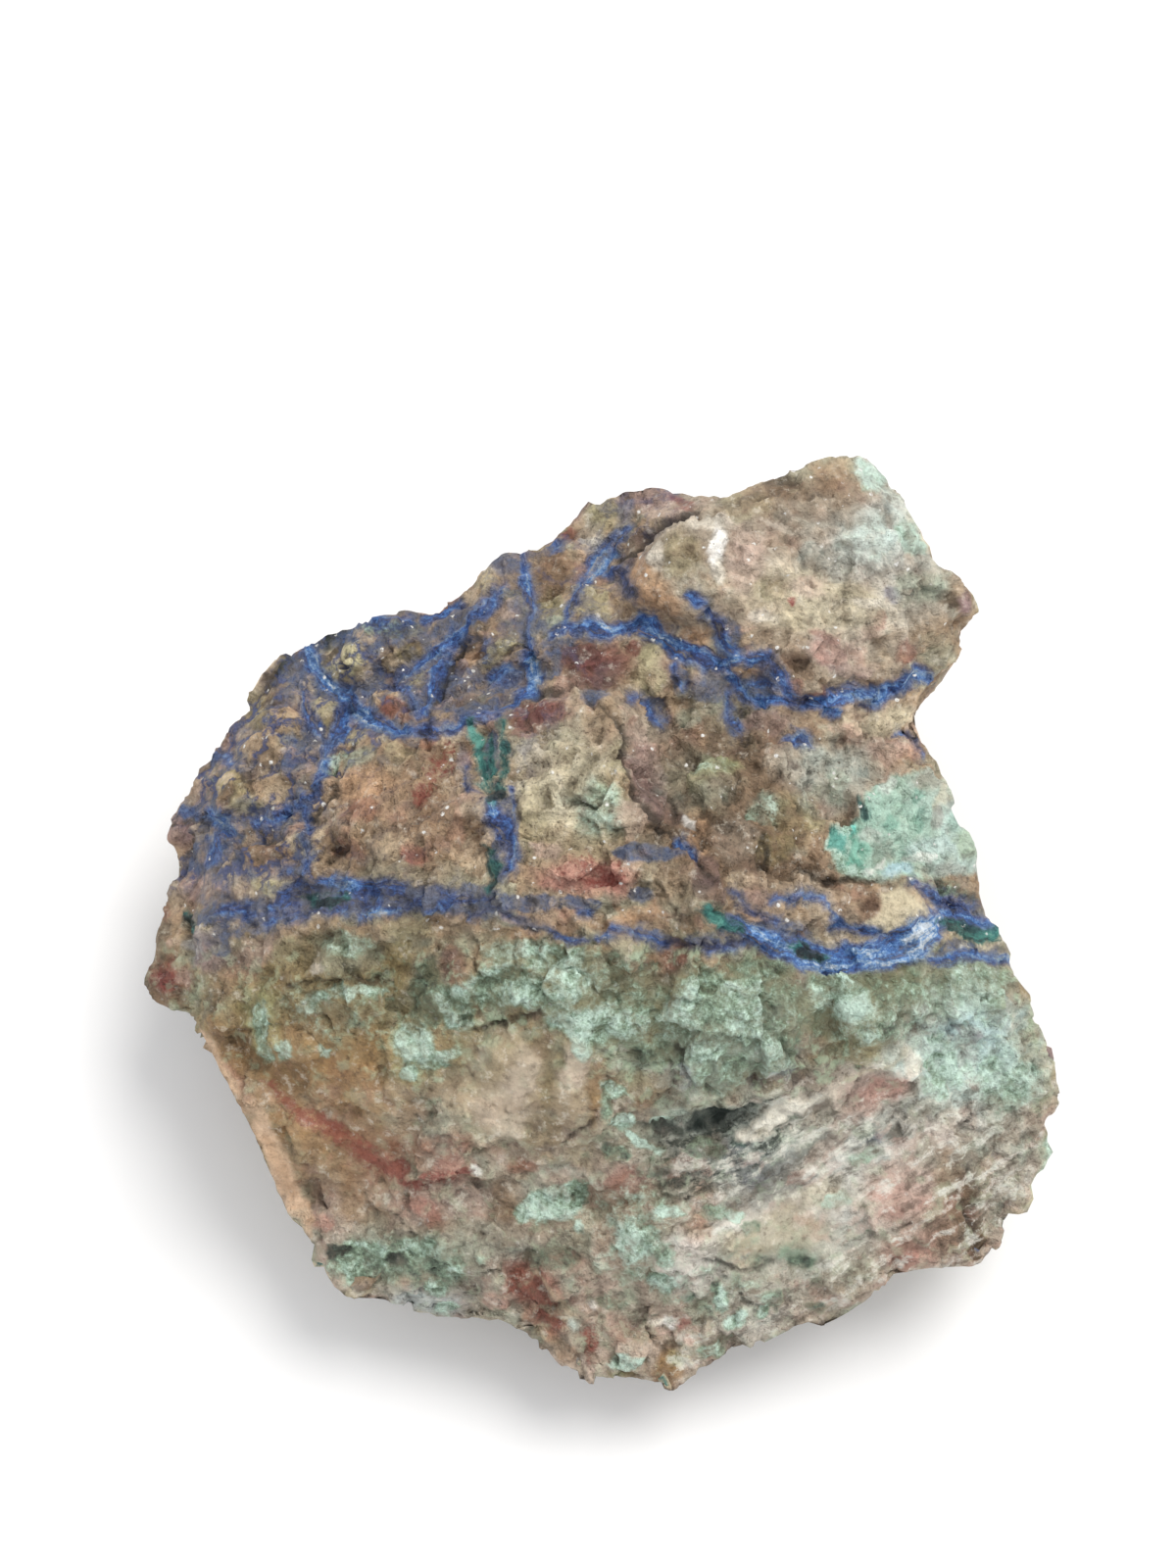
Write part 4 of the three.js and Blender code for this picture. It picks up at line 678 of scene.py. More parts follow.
    (-0.4, 5.2, 5, 2, -8, "pink", 0.4), (37.5, -27, 1.5, 2.8, 10, "brown", 0.6),
    (-21, 1.2, 8, 2.4, 0, "darkBrown", 0.18), (-38.6, 1.4, 2.4, 3.4, 0, "darkBrown", 0.18),
    (-6.5, -15.6, 10, 6.4, -5, "ochre", 0.28), (-28, -5.4, 11, 5, 0, "ochre", 0.3),
    (0, -27, 12, 6, 0, "ochre", 0.22), (18, -22, 10, 4, 18, "darkGreen", 0.12),
    (32, -24, 7, 7, 20, "darkMauve", 0.1), (2, -5.6, 13, 4, -4, "darkGreen", 0.08),
    (20, -9, 10, 5, 0, "paleTurquoise", 0.12), (-3, 16, 6, 6, 0, "paleCream", 0.2),
    (0, 27.4, 4.8, 2.6, -8, "darkMauve", 0.4), (-19.6, 13, 8, 7, 0, "orangeTan", 0.16),
    (-17.6, 15.6, 4.4, 3.4, 0, "brown", 0.25), (-33.4, -9, 2.2, 4, 8, "yellowGreen", 0.45),
    (-37, -2, 3, 5, 0, "brown", 0.3), (26, -33, 8, 3, 14, "greenGrey", 0.3),
    (-19, -33.6, 8, 2.8, -4, "greenGrey", 0.6),
]

# Long bands of colour: (tint, strength, line of (u, v, width)).
rockBands = [
    ("blackGreen", 0.65, [(-33.6, 24.4, 0.8), (-31, 27.2, 1.6), (-28.2, 29.2, 1.6), (-24.6, 31, 1.2),
        (-21, 32, 1), (-16, 32.3, 0.8), (-13, 34.2, 0.5)]),
    # A pale strip along the lower-left rim, where a narrow lit facet shows: partly the rock's pinkish colour
    # and partly painted light.
    ("litStripTan", 0.9, [(-39.2, -10.8, 0.8), (-37.4, -13.2, 1), (-35.8, -16.4, 1.2), (-33.6, -19.4, 1.8),
        (-32.4, -22.6, 2), (-30.8, -26, 2), (-29, -28.8, 1.6), (-28.4, -31, 0.8)]),
    ("redBrown", 0.5, [(-36.8, -13.6, 0.5), (-35.6, -15.6, 0.8), (-34.6, -17.2, 0.4)]),
    ("orangeTan", 0.55, [(-33, -21.6, 1), (-31.6, -24.4, 1.2), (-30, -27, 0.8)]),
    ("paleTan", 0.7, [(-5.6, -35.2, 0.5), (-3.4, -37, 0.6), (-1.4, -39.4, 0.6)]),
    ("paleTurquoise", 0.7, [(-1.6, -39.6, 0.7), (-0.9, -40.5, 0.6)]),
    ("paleCream", 1, [(15.4, -21, 1), (17, -20.4, 1.5), (19.4, -19, 1.6), (21.6, -17.9, 1.2),
        (24, -16.7, 0.6)]),
    ("ivory", 1, [(15.8, -20.9, 0.5), (17.4, -20.1, 1), (19.6, -18.9, 1.2), (22, -17.8, 0.9),
        (24.2, -16.8, 0.4)]),
    ("blackGreen", 1, [(10.4, -20.2, 1), (12, -19.6, 2.2), (13.6, -18.9, 2), (15.4, -18.5, 1),
        (17, -18.2, 0.5)]),
    ("blackGreen", 0.75, [(5.8, -19.4, 0.8), (7.4, -20, 1.4), (9.6, -20.6, 0.7)]),
    ("darkGreen", 0.6, [(20.4, -19.1, 0.3), (21.4, -18.8, 0.7), (22.2, -18.4, 0.3)]),
    ("darkGrey", 0.5, [(18.6, -24.6, 0.3), (21.4, -22.6, 0.5), (25, -20.8, 0.5)]),
    ("darkMauve", 0.5, [(20, -18.6, 0.3), (24, -18, 0.6), (26.4, -16.8, 0.4)]),
    ("cream", 0.5, [(26, -15.4, 0.4), (29.6, -13.9, 0.6), (32.6, -12.4, 0.5)]),
    ("darkBrown", 0.5, [(-18.8, -24.6, 0.3), (-17.6, -25.6, 0.5), (-16.6, -26.4, 0.3)]),
]

# Green crusts: (u, v, half width, half height, turn in degrees, amount, depth of colour).
crustPatches = [
    (0, -6.4, 12, 4.6, -6, 0.42, 0.3), (14, -8.6, 11, 5.4, 0, 0.56, 0.28),
    (30, -8, 12, 4.4, 0, 0.55, 0.12), (39, -13.4, 6, 4, 0, 0.5, 0.0), (31.4, -5, 4.4, 2.4, 0, 0.2, 0.48),
    (38.8, -5.6, 4.4, 2.6, 0, 0.5, 0.02), (-26, -8, 9, 3.6, 0, 0.3, 0.35),
    (-18.6, -33.8, 7.4, 2.8, -4, 0.66, 0.42), (4, -30, 7, 6, 0, 0.3, 0.2),
    (13, -35.4, 8, 5, 15, 0.3, 0.35), (20, -33.6, 5, 2, 10, 0.34, 0.5),
    (-7.4, -1.8, 3.4, 1.2, 0, 0.55, 0.05), (-9.4, -5.6, 3.4, 2.6, 0, 0.78, 0.2),
    (-2.4, -3.8, 3.8, 2.4, 0, 0.72, 0.3), (-7, -6.4, 3, 1.6, 0, 0.8, 0.12),
    (-3, -6.8, 2.4, 1.2, 0, 0.75, 0.4), (1.4, -9.2, 4, 2.4, -10, 0.82, 0.15),
    (-2.6, -9.4, 2.6, 1.3, -20, 0.8, 0.02), (-0.4, -11, 1.2, 2, 0, 0.72, 0.05),
    (4.8, -8, 3, 2, 0, 0.62, 0.3), (9, -9.4, 2.6, 2.2, 0, 0.6, 0.12), (11, -7.4, 2.6, 2.4, 0, 0.8, 0.08),
    (15, -7.2, 4.4, 3, 0, 0.78, 0.3), (12, -5.2, 3, 0.9, 0, 0.7, 0.2),
    (17.8, -4.2, 4, 1.5, -4, 0.72, 0.35), (12.2, -12.2, 2.2, 1.5, 0, 0.78, 0.15),
    (8.4, -12.2, 5, 2, 0, 0.5, 0.25), (13.4, -14.8, 3.4, 2.2, 0, 0.55, 0.3),
    (16.4, -10.6, 3, 2, 0, 0.66, 0.25), (19.4, -11.4, 2.4, 2.6, 0, 0.55, 0.32),
    (16.6, -13.6, 2, 2, 0, 0.55, 0.42), (5.7, -12.4, 1.7, 0.9, 0, 0.7, 0.7),
    (2.6, -16.3, 1.6, 0.8, -20, 0.8, 0.1), (1.8, -17.8, 0.9, 1.2, 0, 0.6, 0.4),
    (26.9, -7.4, 2.4, 2.2, -30, 0.86, 0.02), (30.6, -9.6, 3, 1.4, 0, 0.7, 0.3),
    (25, -5.4, 3, 1.4, 0, 0.6, 0.4), (21, -8.6, 3, 3, 0, 0.4, 0.4),
    (38.6, -4.6, 4.6, 1.8, -8, 0.55, 0.25), (39.6, -7.6, 3.4, 1.8, -20, 0.6, 0.2),
    (36.2, -13.4, 2.2, 3, 5, 0.84, 0.05), (42.4, -14.8, 3.2, 3.8, 0, 0.78, 0.12),
    (35.4, -15.8, 1.6, 1.4, 0, 0.7, 0.15), (-16.2, -6.6, 2.2, 3.6, 0, 0.6, 0.75),
    (-13.4, -7.8, 1.8, 2.6, 10, 0.75, 0.15), (-17.4, -11.2, 2, 2.4, 0, 0.78, 0.06),
    (-15.4, -13, 2.4, 1, 20, 0.75, 0.1), (-18.2, -14.4, 1, 0.9, 0, 0.6, 0.1),
    (-26, -6.5, 3, 0.8, 4, 0.72, 0.15), (-28.7, -7.5, 1, 1, 0, 0.62, 0.1),
    (-22.2, -6.2, 2.2, 0.7, 0, 0.65, 0.1), (-24.6, -1.4, 3, 1.6, 0, 0.6, 0.25),
    (-33.4, -9.2, 1.2, 2.4, 0, 0.66, 0.2), (-33, -12.4, 1, 1.5, 0, 0.72, 0.15),
    (-30.6, -12.2, 1, 1.1, 0, 0.6, 0.1), (-27, -12.3, 0.8, 0.7, 0, 0.75, 0.05),
    (-4, -28, 3.5, 1.6, 6, 1, 0.0), (-6.6, -28.4, 1.2, 1.3, 0, 0.9, 0.03),
    (-1.4, -27, 1.7, 1.3, 20, 0.95, 0.05), (-1, -30, 0.6, 1, 15, 0.8, 0.05),
    (3.7, -19.7, 1.3, 0.9, 0, 0.95, 0.0), (5, -21.3, 1.6, 0.5, -32, 0.9, 0.05),
    (6.7, -22.2, 1.4, 0.5, -25, 0.8, 0.05), (7.6, -19.2, 1.6, 0.4, 5, 0.75, 0.05),
    (3, -22.6, 1.5, 0.9, 0, 0.75, 0.7), (6.6, -24, 2, 1, 0, 0.45, 0.6),
    (12, -22.4, 2.4, 1.2, 0, 0.45, 0.7), (-23.4, -33.6, 3.2, 2.3, 0, 0.9, 0.12),
    (-18.2, -32.6, 2.8, 1.4, 0, 0.9, 0.3), (-25.8, -32.6, 1.6, 0.8, 0, 0.7, 0.85),
    (-19.6, -33.6, 1.6, 0.6, 0, 0.6, 0.85), (-14.8, -34.2, 2.4, 1.4, 0, 0.85, 0.45),
    (-13.7, -34.1, 0.6, 0.5, 0, 0.95, 0.0), (-15.6, -36.4, 1.4, 1, 0, 0.8, 0.2),
    (-14.2, -38.3, 1.5, 0.6, 0, 0.9, 0.0), (-20.4, -35.2, 2.4, 1, 0, 0.5, 0.3),
    (-3.6, -33.4, 3, 1.2, 0, 0.4, 0.65), (4.6, -31.2, 2, 2.7, 8, 0.88, 0.02),
    (6.4, -31.4, 1.4, 1.8, 0, 0.6, 0.15), (8, -33, 1.2, 1.2, 0, 0.6, 0.5),
    (7.6, -35.7, 1.5, 1.3, 20, 0.92, 0.0), (8.4, -28.4, 1.6, 0.5, 4, 0.85, 0.02),
    (2.8, -29.6, 1.2, 1, 0, 0.5, 0.1), (13.7, -37.6, 0.7, 1.4, 12, 0.95, 0.0),
    (13, -36.6, 0.5, 0.9, 0, 0.7, 0.7), (15, -39.6, 1.3, 0.7, 30, 0.85, 0.03),
    (14, -42, 1.2, 0.5, 0, 0.7, 0.1), (12.6, -43, 1.6, 0.8, 0, 0.6, 0.2),
    (18.8, -37.6, 1.3, 1.1, 0, 0.75, 0.4), (17.8, -38.8, 0.8, 0.5, 0, 0.8, 0.1),
    (21.6, -33.8, 1.6, 0.8, 10, 0.78, 0.65), (16.6, -30.3, 1.2, 0.7, 0, 0.7, 0.55),
    (14.6, -29, 1.2, 0.6, 0, 0.85, 0.0), (13, -28.6, 1.4, 0.8, 0, 0.6, 0.2),
    (23.4, -38.4, 1.2, 0.7, 0, 0.6, 0.6), (4, -43.8, 2.2, 0.7, 4, 0.85, 0.12),
    (2.6, -38, 1.6, 0.9, 0, 0.5, 0.4), (5.6, -34.6, 1.8, 1, 0, 0.4, 0.3),
    (28.6, -23, 1.8, 0.7, 20, 0.55, 0.2), (25.4, -27.6, 1.8, 0.8, 20, 0.5, 0.05),
    (18.3, 12.4, 1.7, 1.4, 0, 0.5, 0.2), (13, 16.8, 2.6, 1, 8, 0.4, 0.3),
    (0.8, 12.8, 2.8, 3, 0, 0.42, 0.1), (28.8, 46, 1.9, 1.6, -30, 0.6, 0.02),
    (33, 40, 1.3, 2, 30, 0.5, 0.0), (28.4, 39.4, 3, 2.6, 0, 0.22, 0.0),
    (27.4, 37, 2.6, 1.6, 0, 0.22, 0.0), (25.8, 9, 1.3, 2.2, 0, 0.8, 0.1),
    (27, 6.4, 1.8, 0.6, -14, 0.7, 0.05), (36.6, 4.4, 3, 0.9, -14, 0.6, 0.7),
    (13.4, 1.6, 2.6, 1.2, -30, 0.5, 0.75), (-26.6, 4.2, 1.6, 0.5, 0, 0.8, 0.25),
    (-39, 15.4, 0.8, 1.6, -20, 0.3, 0.4), (-19.4, 30.8, 3, 0.8, 8, 0.4, 0.7),
    (-25.6, 17.4, 1.6, 0.7, 40, 0.4, 0.3),
]

# Thin blue films over the rock: (u, v, half width, half height, turn in degrees, amount).
filmPatches = [
    (-35, 10, 6, 9, 0, 0.5), (-27, 24, 6, 4.4, 25, 0.5), (-19.6, 29, 8, 3, 10, 0.5),
    (-14, 24.6, 7, 3, 20, 0.42), (-6, 31, 3.4, 6, 0, 0.42), (-32, 19.6, 5, 4, 20, 0.5),
    (-35, 2.4, 5, 3, 0, 0.45), (-37.4, 10.6, 2.4, 4.4, -10, 0.9), (-36.4, 16.8, 1.8, 1.4, 0, 0.6),
    (-31, 16.6, 3, 1.4, 10, 0.55), (-28.4, 20, 2.4, 2.4, 0, 0.75), (-29.4, 14.4, 2, 1.4, 20, 0.7),
    (-27.2, 25.4, 2.6, 3, 30, 0.75), (-22.6, 25, 2.2, 2, 0, 0.6), (-22, 30, 5, 1.1, 10, 0.85),
    (-27.4, 27.6, 1.2, 2.4, 15, 0.8), (-22, 21.6, 3, 1.5, -20, 0.8), (-18.6, 20.6, 3, 1.3, 0, 0.7),
    (-16.2, 27.4, 2.4, 1.4, 35, 0.6), (-14.4, 30.4, 3.4, 1.5, 40, 0.85), (-11, 33.4, 2.4, 0.9, 50, 0.7),
    (-17.4, 23.4, 1.4, 1.4, 0, 0.7), (-11.4, 22.6, 3, 1, 22, 0.7), (-8.4, 25.8, 2.4, 1.4, 10, 0.8),
    (-6, 28.6, 1.2, 3.4, 0, 0.8), (-6.8, 35.6, 1.3, 3.2, 0, 0.75), (-8.4, 38, 2.4, 0.9, -15, 0.7),
    (-4.4, 28, 1.6, 2.4, 0, 0.6), (-2, 30.6, 2.4, 1.2, 30, 0.7), (1.4, 37.8, 1.3, 2.4, -30, 0.5),
    (-0.6, 35, 0.7, 2.4, -30, 0.5), (3.6, 42.4, 1, 2, -25, 0.6), (-3.4, 39.7, 1, 0.7, 0, 0.8),
    (-20, 32, 3.4, 0.6, 4, 0.8), (-39.2, 7.4, 1.4, 2.4, 0, 0.7), (-38, 17.4, 1, 1.8, 20, 0.7),
    (-40.6, 12.2, 1.4, 0.9, 0, 0.7), (-36, 1.6, 4, 1.6, 4, 0.85), (-38, -0.8, 1.6, 1.6, 0, 0.6),
    (-33, 0.6, 3, 0.5, 16, 0.6), (-31.6, 3, 2.6, 0.9, 10, 0.7), (-11.4, 3, 4, 1.5, 0, 0.8),
    (-6, 2.8, 3.6, 0.9, -3, 0.7), (-1, 2.6, 3, 0.7, 0, 0.65), (-9.4, 1.6, 3, 0.6, -5, 0.5),
    (-8.2, 7.4, 1.3, 3, 0, 0.8), (-8.4, 12, 1, 2.4, -8, 0.6), (-10, 18.4, 0.8, 2.6, 0, 0.35),
    (6.2, 8, 3.6, 0.9, -4, 0.8), (5.4, 3.7, 1.4, 0.8, 0, 0.6), (10.4, 8.2, 1.2, 0.6, -50, 0.6),
    (19, 0.6, 4, 1.2, -16, 0.55), (24, -1.4, 2.6, 0.7, 0, 0.6), (29, -3.9, 4, 0.5, 4, 0.7),
    (37, 3.2, 3, 1.2, -16, 0.8), (38.6, -2, 3.6, 1, 4, 0.75), (13.6, -1, 3.4, 0.8, 0, 0.5),
    (6, -0.6, 2.6, 0.8, -10, 0.5), (12, 24.6, 2.8, 1.4, -10, 0.55), (14.4, 30, 1.3, 3.2, 25, 0.65),
    (18, 25.8, 2.2, 1.2, 0, 0.7), (17.4, 24, 2.6, 0.9, 0, 0.8), (31.2, 24.6, 1.4, 0.9, 20, 0.75),
    (24, 22.4, 2.6, 0.8, -10, 0.5), (14.8, 21.4, 0.9, 1.6, 15, 0.5), (7, 22.4, 1.6, 1.2, -30, 0.6),
    (0.6, 24.4, 1.7, 1, 0, 0.65), (9, 25.4, 0.9, 1.6, -15, 0.7), (21.6, 19.7, 1.6, 0.6, -10, 0.5),
    (11, 33.8, 1.2, 0.5, 0, 0.6),
]

# Where the film is thinner: (u, v, half width, half height, turn in degrees, share taken off).
clearPatches = [(-4, 36, 9, 7, 0, 0.4), (-35, 12, 6, 9, 0, 0.35)]

# Where the rock is coarser or smoother: (u, v, half width, half height, turn in degrees, grain).
grainPatches = [
    (2, 12, 44, 9, 0, 1.2), (-24, 24, 16, 9, 20, 1.1), (17, 38, 11, 9, 0, 0.9), (-4, -30, 26, 9, 0, 0.95),
    (25, -27, 13, 8, 18, 0.5), (30, -17, 7, 4, 20, 0.7), (20.5, -30.4, 6, 3.6, 12, 0.38),
    (-27, -20, 10, 8, -30, 0.66), (-24, -14, 9, 5, 0, 0.75), (-6.5, -15.6, 8.5, 5.6, -10, 0.45),
]

# Small patches of these colours are clasts, free of film.
clastTints = ("tan", "paleTan", "khaki", "cream", "paleCream", "greyTan", "orangeTan", "olive", "white",
              "red", "darkRed", "redBrown")

# Hollows and lumps of the surface: (u, v, half width, half height, turn in degrees, rise in mm).
reliefPatches = [
    (13, -19.3, 3, 1, 12, -0.9), (7.6, -20, 2.2, 0.8, -8, -0.7), (9.8, -24.3, 1.1, 0.7, -25, -0.6),
    (15, -23.5, 0.8, 0.6, 0, -0.4), (17.6, -15.5, 1.4, 0.8, 0, -0.4), (-1.6, -33, 0.9, 0.7, 0, -0.4),
    (-14, 25.6, 0.9, 2.4, -28, -0.6), (24.6, 5, 1.2, 1.1, 0, -0.6), (-26.4, 9.3, 1.5, 1.2, -20, -0.4),
    (14.6, 13.9, 1.4, 0.8, 0, -0.4), (8, 41.6, 2.6, 0.8, 14, -0.6), (5.4, 40, 0.9, 1.8, -35, -0.6),
    (-1.4, -13.7, 1.5, 3.2, -2, 0.6), (-6.3, -14.5, 1.5, 2.4, -15, 0.4), (-8.6, -18.4, 3, 2.6, 0, 0.4),
    (-8.6, -11.6, 2.6, 2.2, 0, 0.35), (-2, -18, 2.2, 2, 0, 0.35), (3, -25.7, 2.7, 1.8, 5, 0.5),
    (-38.7, 0, 1, 0.9, 0, 0.55), (19.6, -18.9, 4.2, 0.9, 25, 0.35), (-4, -28, 3.5, 1.7, 6, 0.3),
    (-24.6, 27.6, 2.6, 1.9, 0, 0.3), (-20, 27.6, 1.3, 1.1, 0, 0.3), (-20.2, 23.7, 1.3, 1, 0, 0.3),
    (-26.7, 22.8, 1.4, 1, 0, 0.3), (-33, 18.8, 2.2, 1.6, 10, 0.3), (-36.4, 14.6, 1.8, 2, 0, 0.16),
    (-32.4, 14.5, 2.2, 1.7, 0, 0.16), (-32.6, 7.6, 2.2, 1.4, 10, 0.3), (-32, 4.6, 1.8, 0.9, 4, 0.3),
    (-9, 28.6, 1.1, 2.6, -30, 0.4), (0.8, 33.4, 2.3, 2.2, -20, 0.35), (11, 29.8, 1.9, 1.2, -14, 0.35),
    (-3.6, 37, 1.8, 2, 0, 0.3), (-23.6, 19.9, 1.6, 0.8, 8, 0.25), (-12.3, 27.4, 1.2, 0.8, 40, 0.25),
    (13.2, 39, 0.9, 2.7, -4, 0.3), (-30.8, 21.4, 1.8, 1.5, -10, 0.25), (6.2, 25.5, 1.8, 1.7, 0, 0.25),
]

# The pale turquoise facet and the cream chip, by their corners.
facetShape = [(28.5, 13.9), (31.1, 16), (34.4, 16), (37, 13.2), (39.9, 9), (39.9, 6.1), (33.5, 5),
              (27.6, 5.7), (25.2, 7.5), (25.2, 9.9), (27.6, 11.8)]
blockShape = [(-27.4, 6), (-27.6, 11.6), (-24.6, 16.6), (-20, 19.2), (-12.8, 20), (-11.2, 13), (-10.8, 5.4)]
facetPatches = [
    (31.5, 11, 4, 3.4, 0, "mint", 0.6), (26.4, 8.6, 2, 2.4, 0, "turquoise", 0.6),
    (26.1, 10, 0.8, 1.5, -35, "brightTurquoise", 0.9), (26.8, 9.2, 0.5, 0.8, -20, "jade", 0.8),
    (26.4, 7.2, 2.2, 0.7, -25, "jade", 0.55), (31, 11.3, 0.9, 0.7, 30, "jade", 0.5),
    (33.4, 13.8, 0.6, 1.2, -25, "jade", 0.45), (30.1, 8.2, 1, 1.1, 0, "darkGrey", 0.35),
    (33.8, 11.2, 0.5, 1.1, 0, "jade", 0.4), (34.8, 15.1, 2, 1, -10, "greyTan", 0.6),
    (36, 13.6, 1, 1.6, -30, "cream", 0.5), (35.5, 11.4, 0.6, 1, 20, "mauve", 0.45),
    (36.6, 12.4, 0.5, 1.2, -20, "darkGrey", 0.45), (35.2, 8.6, 2.6, 1, 0, "paleTurquoise", 0.9),
    (33.8, 7.3, 1.8, 0.5, 0, "white", 0.5), (31.8, 6.2, 1.8, 0.7, 0, "blueMist", 0.8),
    (38.6, 8.8, 1.3, 1.6, 0, "paleGreen", 0.6), (37.3, 10.8, 1, 0.6, -35, "jade", 0.35),
    (38.4, 7.7, 0.5, 0.4, 0, "darkGrey", 0.6), (37.4, 5.9, 2.2, 1, 0, "grey", 0.8),
    (34.7, 6.1, 0.5, 0.8, 0, "darkGrey", 0.6), (30.4, 15, 0.9, 0.8, 0, "white", 0.4),
    (28.6, 9.8, 1.4, 0.8, 0, "paleGrey", 0.5), (29.2, 6.6, 1.4, 0.3, 30, "white", 0.6),
]
chipShape = [(29.8, 4.2), (32.2, 4.4), (34.2, 2.9), (34.9, 1.2), (31.5, -0.4), (27.7, 0.6),
             (29.8, 2.5)]

# Patches of the unseen sides and the underside: colour, and size in mm.
flankTints = [("khaki", 9), ("paleTan", 6), ("darkBrown", 5), ("redBrown", 6), ("greyTan", 8), ("cream", 4),
              ("olive", 7), ("mauve", 5), ("greenGrey", 6)]

# Single patches that other fields follow: (u, v, half width, half height, turn in degrees).
fieldPatches = {
    "fibres": (14, -22, 9, 3.8, 20),
    "fewFibres": (24, -24, 14, 6, 20),
    "plainSlab": (21, -30.4, 7, 4, 12),
    "quartz": (-6.5, -15.6, 8.5, 5.6, -10),
    "rightCrust": (38, -13, 8, 6.4, -10),
    "dullVein": (-14, 2.4, 27, 5, 0),
    "dullCorner": (-30, 12, 12, 12, 0),
}

# Veins of the unseen sides, in mm: how far apart they are, how steeply they thin out, half their
# width, and the gaps in them, by depth, size and the noise at which they are full.
hiddenVeins = {
    "blue": {"apart": 15, "steep": 9, "half": 0.3, "gap": 2.4, "gapSize": 9, "gapFull": 0.25, "seed": 80},
    "green": {"apart": 19, "steep": 12, "half": 0.3, "gap": 2.6, "gapSize": 8, "gapFull": 0.2, "seed": 90},
}

# Where the kinds of rock begin and where they are full, along u or v of the plan, mm.
zones = {
    "front": (1.0, -2.5),
    "lowerRock": (-14, -20),
    "facetRight": (33, 37),
    "facetLeft": (30.5, 26),
    "netTop": (3, 6),
    "netLeft": (2.5, -4),
    "netDense": (-14, -26),
    "glints": (-2, 2),
    "streaks": (-13, -18),
    "streaksRight": (4, 12),
    "dust": (0, -3),
    "lessDustLow": (-14, -19),
    "lessDustLeft": (-16, -24),
    "blush": (-15, -20),
    "tiltedBands": (-9, -15),
}

stoneLook = {
    "showFrom": 0.02,  # least share of a face's normal towards the show side
    "showFade": (-0.2, 0.1),  # the same, for where the drawn colours begin and are full
    "flankFade": (0.25, -0.1),  # and for the flank's chips
    "rimFade": (0.75, 0.3),  # and for the calm along the outline
    "showCuts": 5,  # extra cuts of each show face's edge
    "flankCuts": 1,
    "smoothing": 12,  # rounds that soften the cut faces before they are roughened
    "smoothSteps": (0.6, -0.5),  # the second step of a round keeps the corners from shrinking
    "chips": [(5.2, 0.15), (2.4, 0.2), (1.1, 0.2)],  # across in mm, and tilt
    "flankChips": [(10, 0.32), (5, 0.3)],
    "lumps": [(6.0, 0.3), (2.2, 0.22), (0.9, 0.12)],  # size and height in mm
    "warps": [(4.2, 0.4), (1.5, 0.26), (0.6, 0.14)],  # how far colours wander, by size, mm
    "ragged": 0.2,  # how uneven the rims of the patches are
    "rimCalm": 0.64,  # how much of the roughness is left out along the outline
    "grainRise": 1.1,  # how much the relief follows the grain
    "crackDepth": 0.45,
    "veinRise": 0.12,
    "crustRise": 0.12,
    "footHeight": 1.2,  # the relief fades out below this height, mm
}
footLevel = 1e-5  # metres; a point below it is part of the face that the stone rests on
weldReach = 1e-6  # metres


# A merged copy of the stone, cut finer on its show face and flank, and softened.
def makeStone(cadStone):
    stone = bpy.data.objects.new("rough_stone", cadStone.data.copy())
    bpy.context.scene.collection.objects.link(stone)
    stone.data.materials.clear()
    bm = bmesh.new()
    bm.from_mesh(stone.data)
    bmesh.ops.remove_doubles(bm, verts=bm.verts, dist=weldReach)
    bm.normal_update()
    out = Vector(planOut)
    onFoot = {v for v in bm.verts if v.co.z < footLevel}
    flankEdges = [e for e in bm.edges if not (e.verts[0] in onFoot and e.verts[1] in onFoot)]
    shown = [f for f in bm.faces if f.normal.dot(out) > stoneLook["showFrom"]]
    showFaces = [f for f in shown if not onFoot.issuperset(f.verts)]
    showEdges = list({e for f in showFaces for e in f.edges})
    flankEdges = list(set(flankEdges) - set(showEdges))
    for edges, cuts in ((showEdges, stoneLook["showCuts"]), (flankEdges, stoneLook["flankCuts"])):
        bmesh.ops.subdivide_edges(bm, edges=edges, cuts=cuts, use_grid_fill=True)
    bmesh.ops.triangulate(bm, faces=bm.faces)
    moving = [v for v in bm.verts if v.co.z > footLevel]
    axes = {"use_axis_x": True, "use_axis_y": True, "use_axis_z": True}
    for _ in range(stoneLook["smoothing"]):
        for factor in stoneLook["smoothSteps"]:
            bmesh.ops.smooth_vert(bm, verts=moving, factor=factor, **axes)
    bm.to_mesh(stone.data)
    bm.free()
    return stone


def pointsOf(mesh, name="co"):
    flat = np.zeros(len(mesh.vertices) * 3, np.float32)
    mesh.vertices.foreach_get(name, flat)
    return flat.reshape(-1, 3).astype(float)


def keepField(mesh, name, *parts):
    field = mesh.attributes.new(name, "FLOAT_COLOR", "POINT")
    field.data.foreach_set("color", np.stack(parts, axis=1).astype(np.float32).ravel())


def keepNumber(mesh, name, values):
    mesh.attributes.new(name, "FLOAT", "POINT").data.foreach_set("value", values.astype(np.float32))


def placeOnPlan(points):
    away = points - np.array(plan["middle"])
    narrowed = 1 - (away @ planOut) / plan["viewDistance"]
    u = away @ planRight / narrowed
    v = plan["drawTo"] + (away @ planUp - plan["drawTo"]) / narrowed
    return u, v


# Bands of the rock: level at first, then rising to the right and to the left low on the front.
def bandPlace(u, v):
    rise = 0.6 * (np.clip(u, 0, 20) ** 2 / 40 + np.maximum(u - 20, 0)) + 0.55 * np.maximum(-10 - u, 0)
    return v - rise * smoothStep(*zones["tiltedBands"], v)


def wander(points, seed):
    warps = enumerate(stoneLook["warps"])
    return sum(reach * roughNoise(points, size, seed + i * 7, 2) for i, (size, reach) in warps)


